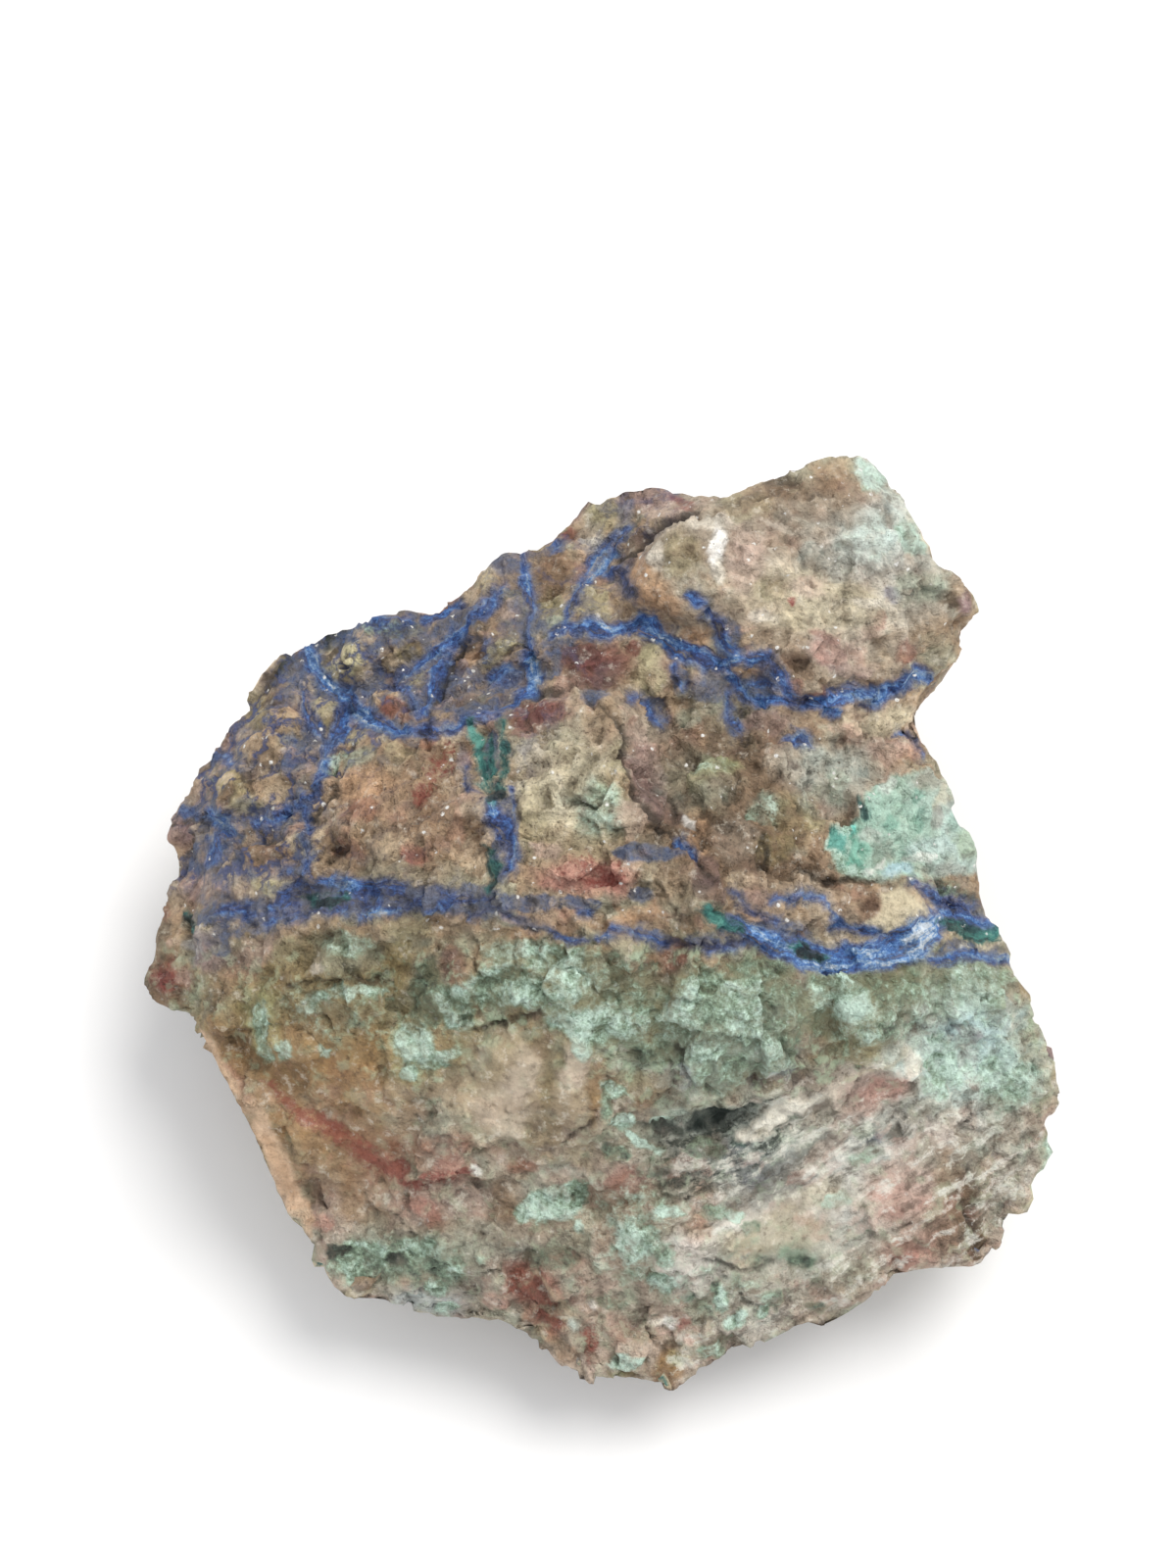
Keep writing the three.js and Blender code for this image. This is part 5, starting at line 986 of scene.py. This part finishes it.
# Three noises side by side, for moving places about.
def threeWays(noise):
    return np.stack([noise(k) for k in range(3)], 1)


def mixTint(tint, colour, share):
    return tint + (np.array(linearColour(tints[colour])) - tint) * np.clip(share, 0, 1)[:, None]


def mixTints(tint, washes):
    for colour, share in washes:
        tint = mixTint(tint, colour, share)
    return tint


def bandShare(u, v, line):
    return smoothStep(0.3, -0.3, besideLine(u, v, line)[0])


def facetShare(u, v):
    return insideShape(u, v, facetShape, 0.35)


def chipShare(u, v):
    return insideShape(u, v, chipShape, 0.25)


# The rock's own colour over the whole stone, before any vein or crust.
def rockTint(points, places, onShow):
    u, v, _ = places
    broad = roughNoise(points, size=11, seed=40)
    middling = roughNoise(points, size=4, seed=50)
    fine = roughNoise(points, size=1.6, seed=60, octaves=3)
    speckle = 1 + 0.3 * fine + 0.3 * middling
    tint = np.tile(linearColour(tints["tan"]), (len(points), 1)).astype(float)
    tint = mixTints(tint, (
        ("greyTan", smoothStep(-0.1, 0.5, broad) * 0.6),
        ("brown", smoothStep(0.05, 0.6, middling) * 0.7),
        ("greenGrey", smoothStep(0.1, 0.5, -broad + 0.4 * fine) * 0.5),
        ("pink", smoothStep(0.3, 0.7, -middling + 0.3 * broad) * 0.4),
    ))
    for order, (colour, size) in enumerate(flankTints):
        place = roughNoise(points, size, 900 + 11 * order, 3)
        tint = mixTint(tint, colour, smoothStep(0.25, 0.4, place) * (1 - onShow) * 0.75 * speckle)
    front = onShow * smoothStep(*zones["front"], v + 0.4 * fine)
    lower = front * smoothStep(*zones["lowerRock"], v + 2 * middling)
    tint = mixTints(tint, (
        ("olive", (front - lower) * 0.55),
        ("greenGrey", (front - lower) * 0.6 * smoothStep(-0.5, 0.5, middling + fine)),
        ("greyTan", lower * 0.75),
        ("palePink", lower * 0.3 * smoothStep(-0.2, 0.5, middling)),
        ("greenGrey", lower * 0.5 * smoothStep(0.1, 0.6, -middling + 0.3 * fine)),
    ))
    for patch in rockPatches:
        tint = mixTint(tint, patch[5], patchShare(places, patch) * onShow * patch[6] * speckle)
    for colour, strength, line in rockBands:
        tint = mixTint(tint, colour, bandShare(u, v, line) * onShow * strength * speckle)
    facet = facetShare(u, v) * onShow
    facetRight = smoothStep(*zones["facetRight"], u + 2 * middling)
    facetLeft = smoothStep(*zones["facetLeft"], u + 1.8 * middling - 0.3 * (v - 9))
    tint = mixTints(tint, (
        ("mint", facet * 0.85 * speckle),
        ("paleTurquoise", facet * facetRight * 0.8),
        ("turquoise", facet * facetLeft * 0.4),
        ("grey", facet * smoothStep(0, 0.5, middling) * 0.6),
        ("greenGrey", facet * smoothStep(0, 0.6, fine) * 0.4),
    ))
    for patch in facetPatches:
        tint = mixTint(tint, patch[5], patchShare(places, patch) * facet * patch[6])
    return mixTint(tint, "cream", chipShare(u, v) * onShow * 0.95)


def greatestShare(places, patches, strength=lambda patch: patch[5]):
    share = np.zeros(len(places[0]))
    for patch in patches:
        share = np.maximum(share, patchShare(places, patch) * strength(patch))
    return share


# A value that each patch in turn pulls towards the number at its end.
def pulledValue(places, patches, start, onShow=1.0):
    value = np.full(len(places[0]), start)
    for patch in patches:
        value += (patch[-1] - value) * patchShare(places, patch) * onShow
    return value


# Small clasts are free of blue film, and so are the lumps of the upper part.
def clastStrength(patch):
    return patch[6] if patch[5] in clastTints and patch[2] < 3 else 0


def lumpStrength(patch):
    return patch[5] > 0 and patch[1] > 4


# Distances from the veins, cracks and red lines, and how the veins run and how light they are.
def addVeinFields(mesh, points, places, onShow):
    u, v, _ = places
    inside = 3.0 * (1 - onShow)  # keeps the drawn lines off the unseen sides
    drawn = {kind: besideLines(u, v, lines) for kind, lines in veins.items()}
    flow = np.where(drawn["green"][0] < drawn["blue"][0], drawn["green"][1], drawn["blue"][1])
    crack = drawn["crack"][0] + inside
    red = drawn["red"][0] + inside
    bent = points + threeWays(lambda k: wander(points, 310 + 20 * k)) * 1.6
    off = {}
    for kind, look in hiddenVeins.items():
        broken = roughNoise(points, look["gapSize"], look["seed"] + 5)
        gaps = look["gap"] * smoothStep(-0.1, look["gapFull"], broken)
        sheet = np.abs(gradientNoise(bent, look["apart"], look["seed"])) * look["steep"] - look["half"] + gaps
        off[kind] = np.where(onShow > 0.5, drawn[kind][0], np.minimum(drawn[kind][0] + inside, sheet))
    distances = (off["blue"], off["green"], crack, red)
    keepField(mesh, "vein_field", *(np.clip(distance, -4, 4) for distance in distances))
    fibre = patchShare(places, fieldPatches["fibres"]) + 0.15 * patchShare(places, fieldPatches["fewFibres"])
    tone = pulledValue(places, veinTones, 0.5)
    keepField(mesh, "vein_flow", *(flow / perMetre), np.minimum(fibre, 1) * onShow, tone)
    return off["blue"], crack


# How much green crust there is, how deep its colour is, the net between the clasts and where the painted
# glints go.
def addCrustFields(mesh, points, places, onShow):
    u, v, _ = places
    behind = smoothStep(0.15, 0.7, roughNoise(points, size=9, seed=110)) * 0.7
    crust = np.maximum(greatestShare(places, crustPatches) * onShow, behind * (1 - onShow))
    depth = pulledValue(places, crustPatches, 0.3, onShow)
    net = smoothStep(*zones["netLeft"], u - 0.55 * (v - 26)) * smoothStep(*zones["netTop"], v) * onShow
    net = net * (0.35 + 0.65 * smoothStep(*zones["netDense"], u - 0.3 * (v - 20)))
    net = net * (1 - 0.8 * insideShape(u, v, blockShape, 0.8))
    net = np.maximum(net, 0.35 * smoothStep(0.2, 0.6, roughNoise(points, size=12, seed=120)) * (1 - onShow))
    glint = 0.2 + 0.8 * smoothStep(*zones["glints"], v) * onShow
    keepField(mesh, "crust_field", crust, depth, net, glint)
    return crust


# The rock's colour, with the blue film that lies over it.
def addTintFields(mesh, points, places, onShow):
    tint = rockTint(points, places, onShow)
    film = greatestShare(places, filmPatches) * onShow
    film = film * (1 - 0.85 * greatestShare(places, reliefPatches, lumpStrength))
    film = film * (1 - 0.8 * greatestShare(places, rockPatches, clastStrength))
    film = film * (1 - greatestShare(places, clearPatches))
    keepField(mesh, "rock_tint", *tint.T, film)


# Where the bands run and show, where dust, blush and quartz lie, and where the veins are dull.
def addSpeckFields(mesh, points, places, onShow):
    u, v, _ = places
    share = {name: patchShare(places, patch) for name, patch in fieldPatches.items()}
    streak = onShow * smoothStep(*zones["streaks"], v) * (0.3 + 0.7 * smoothStep(*zones["streaksRight"], u))
    streak = streak * (1 - 0.7 * share["plainSlab"])
    keepField(mesh, "band_field", u / perMetre, bandPlace(u, v) / perMetre, points[:, 2] / perMetre, streak)
    quartz = share["quartz"] * onShow
    dust = onShow * smoothStep(*zones["dust"], v) * (1 - 0.6 * smoothStep(*zones["lessDustLow"], v))
    dust = dust * (1 - 0.8 * quartz) * (1 - 0.5 * smoothStep(*zones["lessDustLeft"], u))
    dust = dust * (1 - share["rightCrust"])
    blush = (onShow * smoothStep(*zones["blush"], v) * 0.4 + 0.25) * (1 - quartz)
    dull = 0.25 + 0.75 * share["dullVein"] + 0.3 * share["dullCorner"]
    keepField(mesh, "speck_field", dust, blush, quartz, np.minimum(dull, 1))
    marked = np.zeros(len(points))
    for _, strength, line in rockBands:
        marked = np.maximum(marked, strength * bandShare(u, v, line) * onShow)
    marked = np.maximum(marked, 0.6 * facetShare(u, v) * onShow)
    keepNumber(mesh, "marked", np.maximum(marked, 0.7 * chipShare(u, v) * onShow))


# Point attributes that say where each mineral lies. Gives the points, the ways they face and how
# far each one rises, in mm.
def addFields(stone):
    mesh = stone.data
    points = pointsOf(mesh) * perMetre
    normals = pointsOf(mesh, "normal")
    onShow = smoothStep(*stoneLook["showFade"], normals @ planOut)
    u, v = placeOnPlan(points)
    ragged = stoneLook["ragged"] * roughNoise(points, size=2.2, seed=770, octaves=3)
    places = (u + wander(points, 300), v + wander(points, 400), ragged)
    where = (mesh, points, places, onShow)
    blue, crack = addVeinFields(*where)
    crust = addCrustFields(*where)
    addTintFields(*where)
    addSpeckFields(*where)
    grain = pulledValue(places, grainPatches, 1.0, onShow)
    keepNumber(mesh, "grain", grain)
    rise = roughness(points, normals, grain, blue, crack, crust)
    for patch in reliefPatches:
        rise += patch[5] * patchShare(places, patch) ** 2 * onShow
    return points, normals, rise


# Chips of several sizes on top of each other.
def chipLayers(points, sizes, bend, warpSeed, seed):
    rise = np.zeros(len(points))
    for i, (across, tilt) in enumerate(sizes):
        warp = threeWays(lambda k: gradientNoise(points, across, warpSeed + 9 * i + k))
        rise += chipRelief(points + bend * across * warp, across, tilt, seed + i)
    return rise


def roughness(points, normals, grain, blue, crack, crust):
    facing = normals @ planOut
    rise = chipLayers(points, stoneLook["chips"], 0.25, 500, 600)
    flank = smoothStep(*stoneLook["flankFade"], facing)
    rise += chipLayers(points, stoneLook["flankChips"], 0.3, 540, 640) * flank
    for i, (size, height) in enumerate(stoneLook["lumps"]):
        rise += height * gradientNoise(points, size, 700 + i)
    rise += stoneLook["veinRise"] * smoothStep(0.3, -0.3, blue) * (0.5 + gradientNoise(points, 0.7, 720))
    rise += stoneLook["crustRise"] * smoothStep(0.3, 0.7, crust) * gradientNoise(points, 0.8, 730)
    rise *= 1 - stoneLook["rimCalm"] * smoothStep(*stoneLook["rimFade"], np.abs(facing))
    rise *= 1 - stoneLook["grainRise"] * (1 - grain)
    return rise - stoneLook["crackDepth"] * smoothStep(0.45, -0.3, crack)


# Moves the points out and in by the relief, within the CAD's own box.
def roughen(stone, points, normals, rise):
    mesh = stone.data
    rise = rise * smoothStep(0.0, stoneLook["footHeight"], points[:, 2])
    # The relief, kept for painted shade: the material darkens the rock where it sinks and lightens it where
    # it rises.
    keepNumber(mesh, "hollow", np.clip(rise, -1, 1))
    moved = np.clip((points + normals * rise[:, None]) / perMetre, cadBox[0], cadBox[1])
    mesh.vertices.foreach_set("co", moved.astype(np.float32).ravel())
    mesh.shade_smooth()
    mesh.update()


# A new node. An input is given by its name, or by i and its number, as a value or as a link.
def addNode(tree, kind, settings=None, **inputs):
    node = tree.nodes.new(kind)
    for name, value in (settings or {}).items():
        setattr(node, name, value)
    for name, value in inputs.items():
        socket = node.inputs[int(name[1:]) if name[0] == "i" and name[1:].isdigit() else name]
        if isinstance(value, bpy.types.NodeSocket):
            tree.links.new(value, socket)
        else:
            socket.default_value = value
    return node


def calculate(tree, operation, first, second=0.0, third=0.0):
    return addNode(tree, "ShaderNodeMath", {"operation": operation}, i0=first, i1=second, i2=third).outputs[0]


# Share that goes smoothly from bottom where value is low to top where it is high.
def fadeNode(tree, value, low, high, top=1.0, bottom=0.0):
    limits = {"From Min": low, "From Max": high, "To Min": bottom, "To Max": top}
    settings = {"interpolation_type": "SMOOTHSTEP"}
    return addNode(tree, "ShaderNodeMapRange", settings, Value=value, **limits).outputs["Result"]


def mixNode(tree, share, first, second):
    first, second = ((*linearColour(c), 1) if isinstance(c, str) else c for c in (first, second))
    settings = {"data_type": "RGBA", "clamp_factor": True}
    return addNode(tree, "ShaderNodeMix", settings, i0=share, i6=first, i7=second).outputs[2]


def rampNode(tree, value, stops):
    node = addNode(tree, "ShaderNodeValToRGB", Fac=value)
    ramp = node.color_ramp
    while len(ramp.elements) < len(stops):
        ramp.elements.new(1.0)
    for element, (place, colour) in zip(ramp.elements, stops):
        element.position = place
        element.color = (*linearColour(colour), 1)
    return node.outputs["Color"]


def noiseNode(tree, places, sizeMm, detail, roughness=0.5):
    look = {"Scale": perMetre / sizeMm, "Detail": detail, "Roughness": roughness}
    return addNode(tree, "ShaderNodeTexNoise", Vector=places, **look).outputs


mineralLook = {
    "blue": [(0.06, "#1F2440"), (0.28, "#2A3C6E"), (0.46, "#385A98"), (0.63, "#4C7FC0"), (0.82, "#8DB2DA"),
             (1.0, "#DCE6EE")],
    "green": [(0.05, "#122628"), (0.3, "#1C4848"), (0.55, "#357B73"), (0.8, "#66AA9C")],
    "crust": [(0.0, "#C8E0D0"), (0.18, "#A9C2AE"), (0.4, "#82967F"), (0.65, "#566656"), (0.9, "#2B332C")],
    "crustBed": "#828263",
    "veinDull": "#66666E",
    "netLine": "#465480",
    "netLineBrown": "#54483A",
    "film": "#5E6A84",
    "filmDull": "#6C6B70",
    "strandDark": "#363F38",
    "strandPale": "#E6E9DF",
    "crack": "#2E271F",
    "red": "#93483F",
    # The white of the painted glints.
    "glint": "#F6F4EE",
    "edgeWander": 1.0,  # how far the veins' edges wander, mm
    "bandStretch": (0.26, 1, 0.26),  # of the streaks along the rock's bands
    "veinStretch": (0.2, 1, 1),
    "facetSize": 0.95,  # of the smallest chips, mm
    "clastSize": 4.0,
    # sparkSize and sparkChance set the painted glints: white dots in the base colour.
    "sparkSize": 0.7,
    "sparkChance": 0.07,  # how many of the crystal faces shine
    "roughness": 0.72,
    "noises": {  # size in mm, detail, roughness
        "broad": (4.2, 3, 0.6),
        "patchy": (1.9, 2.4, 0.55),
        "middling": (1.7, 5, 0.66),
        "fine": (0.5, 3, 0.7),
        "other": (1.3, 5, 0.68),
        "cloud": (2.2, 2, 0.5),
        "streaks": (1.5, 5, 0.62),
        "veinStreaks": (0.8, 4, 0.7),
    },
    "cover": {  # how much of the rock each mineral hides at most
        "net": 0.85,
        "film": 0.88,
        "halo": 0.62,  # the film around a blue vein
        "crustBed": 0.72,
        "crust": 0.94,
        "red": 0.62,
        "crack": 0.72,
        "green": 0.92,
        "blue": 0.95,
        "strandPale": 0.58,
        "strandDark": 0.85,
    },
}


def makeRockMaterial():
    material = bpy.data.materials.new("veined_rock")
    material.use_nodes = True
    tree = material.node_tree
    tree.nodes.clear()
    cover = mineralLook["cover"]
    makers = (addNode, calculate, fadeNode, mixNode, rampNode, noiseNode)
    add, calc, fade, mix, ramp, noise = (partial(maker, tree) for maker in makers)

    def readField(name):
        return add("ShaderNodeAttribute", {"attribute_name": name}).outputs

    def split(colour):
        return add("ShaderNodeSeparateColor", Color=colour).outputs

    def times(first, second):
        return calc("MULTIPLY", first, second)

    # The total with each part, times its share, added on.
    def plus(total, *parts):
        for part, share in parts:
            total = calc("MULTIPLY_ADD", part, share, total)
        return total

    def vectorMath(operation, **inputs):
        return add("ShaderNodeVectorMath", {"operation": operation}, **inputs).outputs

    def scaled(vector, amount):
        return vectorMath("SCALE", i0=vector, Scale=amount)[0]

    # Values of 0 to 1 made to lie about 0.
    def about(value, share=1.0):
        return times(calc("SUBTRACT", value, 0.5), share)

    def unevenness(name, at, share=1.0):
        return about(noise(at, *mineralLook["noises"][name])["Fac"], share)

    def stretched(vector, name):
        return add("ShaderNodeMapping", Vector=vector, Scale=mineralLook[name]).outputs[0]

    # Places moved about by noise, with its size and reach in millimetres.
    def bentBy(sizeMm, detail, reachMm):
        warp = noise(places, sizeMm, detail)["Color"]
        return vectorMath("ADD", i0=places, i1=scaled(warp, reachMm / perMetre))[0]

    places = add("ShaderNodeTexCoord").outputs["Object"]
    fieldNames = ("vein_field", "vein_flow", "crust_field", "rock_tint", "band_field", "speck_field")
    fields = [readField(name) for name in fieldNames]
    veinField, veinFlow, crustField, tintField, bandField, speckField = fields
    red, veinTone, glint, film, streak, dullness = (field["Alpha"] for field in fields)
    hollow, grain, marked = (readField(name)["Fac"] for name in ("hollow", "grain", "marked"))
    blue, green, crack = split(veinField["Color"])
    crust, depth, net = split(crustField["Color"])
    dust, blush, quartz = split(speckField["Color"])
    fibre = split(veinFlow["Color"])[2]

    # Noise of several sizes, each from about -0.25 to 0.25.
    broad, patchy, other = (unevenness(name, places) for name in ("broad", "patchy", "other"))
    middling, fine = (unevenness(name, places, grain) for name in ("middling", "fine"))
    cloud = unevenness("cloud", places, quartz)
    streaks = unevenness("streaks", stretched(bandField["Color"], "bandStretch"), streak)
    veinStreaks = unevenness("veinStreaks", stretched(veinFlow["Color"], "veinStretch"))
    both = plus(middling, (fine, 0.6), (streaks, 0.8))
    edge = times(plus(patchy, (both, 0.4)), mineralLook["edgeWander"])

    # Small chips with tilted faces.
    bent = bentBy(0.9, 2.0, 0.8)
    chips = add("ShaderNodeTexVoronoi", Vector=bent, Scale=perMetre / mineralLook["facetSize"]).outputs
    slope = vectorMath("SUBTRACT", i0=chips["Color"], i1=(0.5, 0.5, 0.5))[0]
    away = vectorMath("SUBTRACT", i0=bent, i1=chips["Position"])[0]
    facet = vectorMath("DOT_PRODUCT", i0=slope, i1=away)["Value"]
    facet = times(times(facet, perMetre), grain)
    # Each chip a little lighter or darker at random: painted light and shade on its tilted face, and below
    # also its roughness.
    chipShade = about(split(chips["Color"])[0], grain)

    # Clasts of the broken upper part, each a little lighter or darker.
    bent = bentBy(2.2, 3.0, 4.2)
    clastScale = perMetre / mineralLook["clastSize"]
    cells = add("ShaderNodeTexVoronoi", {"feature": "DISTANCE_TO_EDGE"}, Vector=bent, Scale=clastScale)
    clasts = add("ShaderNodeTexVoronoi", Vector=bent, Scale=clastScale).outputs["Color"]
    clastShade = about(split(clasts)[0], net)

    # Grains and stains of the bare rock, with painted shade in its hollows and pores and painted light on its
    # lumps.
    # Painted shade and light: the rock is darker where the bump relief and the mesh relief sink, lighter
    # where they rise, and each chip lighter or darker as if its tilted face caught more or less light.
    shade = plus(0.98, (both, 1.42), (chipShade, 0.26), (clastShade, 0.45))
    shade = plus(shade, (hollow, 0.3), (other, 0.5), (cloud, 0.9))
    rock = scaled(tintField["Color"], shade)
    calmRock = scaled(tintField["Color"], plus(1.02, (fine, 0.7)))
    stain = plus(other, (streaks, 1.2))
    dusted = plus(times(both, 0.6), (patchy, 1.6))
    for share, tint in (
        (fade(stain, 0.04, 0.2, 0.42), "paleCream"),
        (fade(stain, -0.05, -0.2, 0.45), "darkBrown"),
        (times(fade(calc("ADD", broad, streaks), 0.03, 0.16, 0.4), blush), "pink"),
        (fade(broad, -0.04, -0.16, 0.25), "brown"),
        # Dark pores where the fine relief sinks, partly painted shade.
        (fade(fine, -0.12, -0.2, 0.6), "darkBrown"),
        (times(fade(dusted, 0.02, 0.3, 0.7), dust), "paleGreen"),
    ):
        rock = mix(share, rock, tints[tint])

    # Dark and pale strands low on the right.
    strand = plus(streaks, (other, 0.5))
    rock = mix(times(fade(strand, 0.0, 0.2, cover["strandPale"]), streak), rock, mineralLook["strandPale"])
    strand = plus(strand, (fine, 0.6))
    rock = mix(times(fade(strand, 0.0, -0.16, cover["strandDark"]), fibre), rock, mineralLook["strandDark"])
    rock = mix(marked, rock, calmRock)

    # The fine net of lines between the clasts, and thin blue films.
    lines = plus(cells.outputs["Distance"], (both, 0.35))
    netShare = times(fade(lines, 0.15, 0.0, cover["net"]), net)
    netColour = mix(fade(broad, 0.0, 0.1), mineralLook["netLine"], mineralLook["netLineBrown"])
    rock = mix(netShare, rock, netColour)
    halo = fade(plus(blue, (both, 0.8), (patchy, 1.8)), 1.0, -0.3, cover["halo"])
    filmShare = fade(plus(film, (both, 0.6), (patchy, 1.3)), 0.0, 0.65, cover["film"])
    for limit in (fade(lines, 0.36, 0.12, bottom=0.4), fade(film, 0.02, 0.2)):
        filmShare = times(filmShare, limit)
    filmShare = calc("MAXIMUM", filmShare, halo)
    filmColour = mix(fade(other, -0.12, 0.1), mineralLook["film"], mineralLook["filmDull"])
    filmColour = mix(fade(fine, -0.06, -0.18, 0.7), filmColour, mineralLook["netLine"])
    rock = mix(filmShare, rock, filmColour)

    # Crusts, on a darker bed.
    rock = mix(times(fade(crust, 0.1, 0.5, cover["crustBed"]), dust), rock, mineralLook["crustBed"])
    amount = plus(crust, (both, 1.3), (patchy, 1.1), (stain, 0.8))
    crustShare = times(fade(amount, 0.1, 1.02, cover["crust"]), fade(crust, 0.02, 0.25))
    # Deeper green where the bump relief and the mesh relief sink: painted shade.
    tone = plus(depth, (broad, 0.8), (other, 1.6), (fine, -0.9), (hollow, -0.3))
    rock = mix(crustShare, rock, ramp(tone, mineralLook["crust"]))

    rock = mix(fade(plus(red, (both, 4.2)), 0.6, -0.5, cover["red"]), rock, mineralLook["red"])
    crackShare = fade(plus(crack, (edge, 0.8)), 0.3, -0.25, cover["crack"])
    rock = mix(crackShare, rock, mineralLook["crack"])

    # Veins.
    veinEdge = plus(edge, (veinStreaks, 1.9))
    greenShare = fade(calc("ADD", green, veinEdge), 0.4, -0.35, cover["green"])
    greenTone = plus(calc("ADD", veinTone, other), (veinStreaks, 1.2))
    rock = mix(greenShare, rock, ramp(greenTone, mineralLook["green"]))
    blueShare = fade(calc("ADD", blue, veinEdge), 0.5, -0.5, cover["blue"])
    for limit in (fade(veinStreaks, -0.18, -0.04, bottom=0.25), calc("SUBTRACT", 1.0, greenShare)):
        blueShare = times(blueShare, limit)
    blueTone = plus(veinTone, (veinStreaks, 2.1), (fine, 0.8))
    dull = plus(calc("ADD", patchy, broad), (veinStreaks, 0.7))
    dull = times(fade(dull, -0.12, 0.16, top=0.85, bottom=0.1), dullness)
    blueColour = mix(dull, ramp(blueTone, mineralLook["blue"]), mineralLook["veinDull"])
    rock = mix(blueShare, rock, blueColour)
    # Veins, films and crusts are also painted darker where the bump relief sinks and lighter where it rises.
    grown = calc("MAXIMUM", blueShare, calc("MAXIMUM", filmShare, crustShare))
    rock = scaled(rock, plus(0.99, (times(both, grown), 1.3)))

    # Painted highlights: tiny white dots in the base colour, in clusters, where crystal faces glint.
    sparks = add("ShaderNodeTexVoronoi", Vector=places, Scale=perMetre / mineralLook["sparkSize"]).outputs
    sparkShare = calc("GREATER_THAN", split(sparks["Color"])[1], 1 - mineralLook["sparkChance"])
    for limit in (fade(sparks["Distance"], 0.4, 0.25), glint, fade(other, -0.02, 0.05)):
        sparkShare = times(sparkShare, limit)
    rock = mix(sparkShare, rock, mineralLook["glint"])

    # Fine relief, in millimetres.
    relief = plus(middling, (fine, 0.35), (streaks, 0.45), (facet, 0.75), (cloud, 0.5))
    relief = plus(relief, (crackShare, -0.25), (netShare, -0.12))
    bump = add("ShaderNodeBump", Height=relief, Strength=1.0, Distance=1 / perMetre).outputs["Normal"]

    gloss = plus(mineralLook["roughness"], (chipShade, 0.3), (blueShare, -0.12), (sparkShare, -0.5))
    colour = {"Base Color": rock, "Specular IOR Level": 0.4}
    surface = add("ShaderNodeBsdfPrincipled", Roughness=gloss, Normal=bump, IOR=1.5, **colour)
    add("ShaderNodeOutputMaterial", Surface=surface.outputs[0])
    return material


studio = {
    "floorSize": 4.0,
    "floorTint": (0.93, 0.925, 0.92),
    "floorRoughness": 0.9,
    "skyStrength": 0.86,
    "skyTint": (0.96, 0.975, 1.0),
    "sunStrength": 1.86,
    "sunSpreadDeg": 34,
    "sunFrom": (0.44, 0.4, 0.95),
    "sunTint": (1.0, 0.975, 0.94),
}


def makeStudio():
    bm = bmesh.new()
    bmesh.ops.create_grid(bm, x_segments=1, y_segments=1, size=studio["floorSize"] / 2)
    mesh = bpy.data.meshes.new("floor")
    bm.to_mesh(mesh)
    bm.free()
    floor = bpy.data.objects.new("floor", mesh)
    bpy.context.scene.collection.objects.link(floor)
    paint = bpy.data.materials.new("floor_paint")
    paint.use_nodes = True
    shader = paint.node_tree.nodes["Principled BSDF"]
    shader.inputs["Base Color"].default_value = (*studio["floorTint"], 1)
    shader.inputs["Roughness"].default_value = studio["floorRoughness"]
    shader.inputs["Specular IOR Level"].default_value = 0.2
    mesh.materials.append(paint)
    world = bpy.data.worlds.new("soft_white")
    world.use_nodes = True
    sky = world.node_tree.nodes["Background"]
    sky.inputs["Color"].default_value = (*studio["skyTint"], 1)
    sky.inputs["Strength"].default_value = studio["skyStrength"]
    bpy.context.scene.world = world
    lamp = bpy.data.lights.new("window", "SUN")
    lamp.energy = studio["sunStrength"]
    lamp.angle = math.radians(studio["sunSpreadDeg"])
    lamp.color = studio["sunTint"]
    sun = bpy.data.objects.new("window", lamp)
    sun.rotation_euler = Vector(studio["sunFrom"]).to_track_quat("Z", "Y").to_euler()
    bpy.context.scene.collection.objects.link(sun)
    bpy.context.scene.view_settings.view_transform = "Standard"


sensorWidth = 36  # of the camera, mm


def makeCamera():
    aim = np.array(plan["middle"]) + planUp * plan["drawTo"]
    stand = aim + planOut * plan["viewDistance"]
    lens = bpy.data.cameras.new("camera")
    lens.sensor_width = sensorWidth
    lens.lens = sensorWidth * plan["viewDistance"] / plan["pictureHeight"]
    lens.clip_start = 0.01
    lens.clip_end = 20
    camera = bpy.data.objects.new("camera", lens)
    camera.location = Vector(stand / perMetre)
    camera.rotation_euler = Vector(planOut).to_track_quat("Z", "Y").to_euler()
    bpy.context.scene.collection.objects.link(camera)
    bpy.context.scene.camera = camera


stone = makeStone(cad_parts["stone"])
print("stone cut", len(stone.data.polygons), "faces")
points, normals, rise = addFields(stone)
print("veins and crusts placed")
roughen(stone, points, normals, rise)
stone.data.materials.append(makeRockMaterial())
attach(stone, "root")
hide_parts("stone")
print("stone roughened and painted")
makeStudio()
makeCamera()
print("floor, light and camera set")
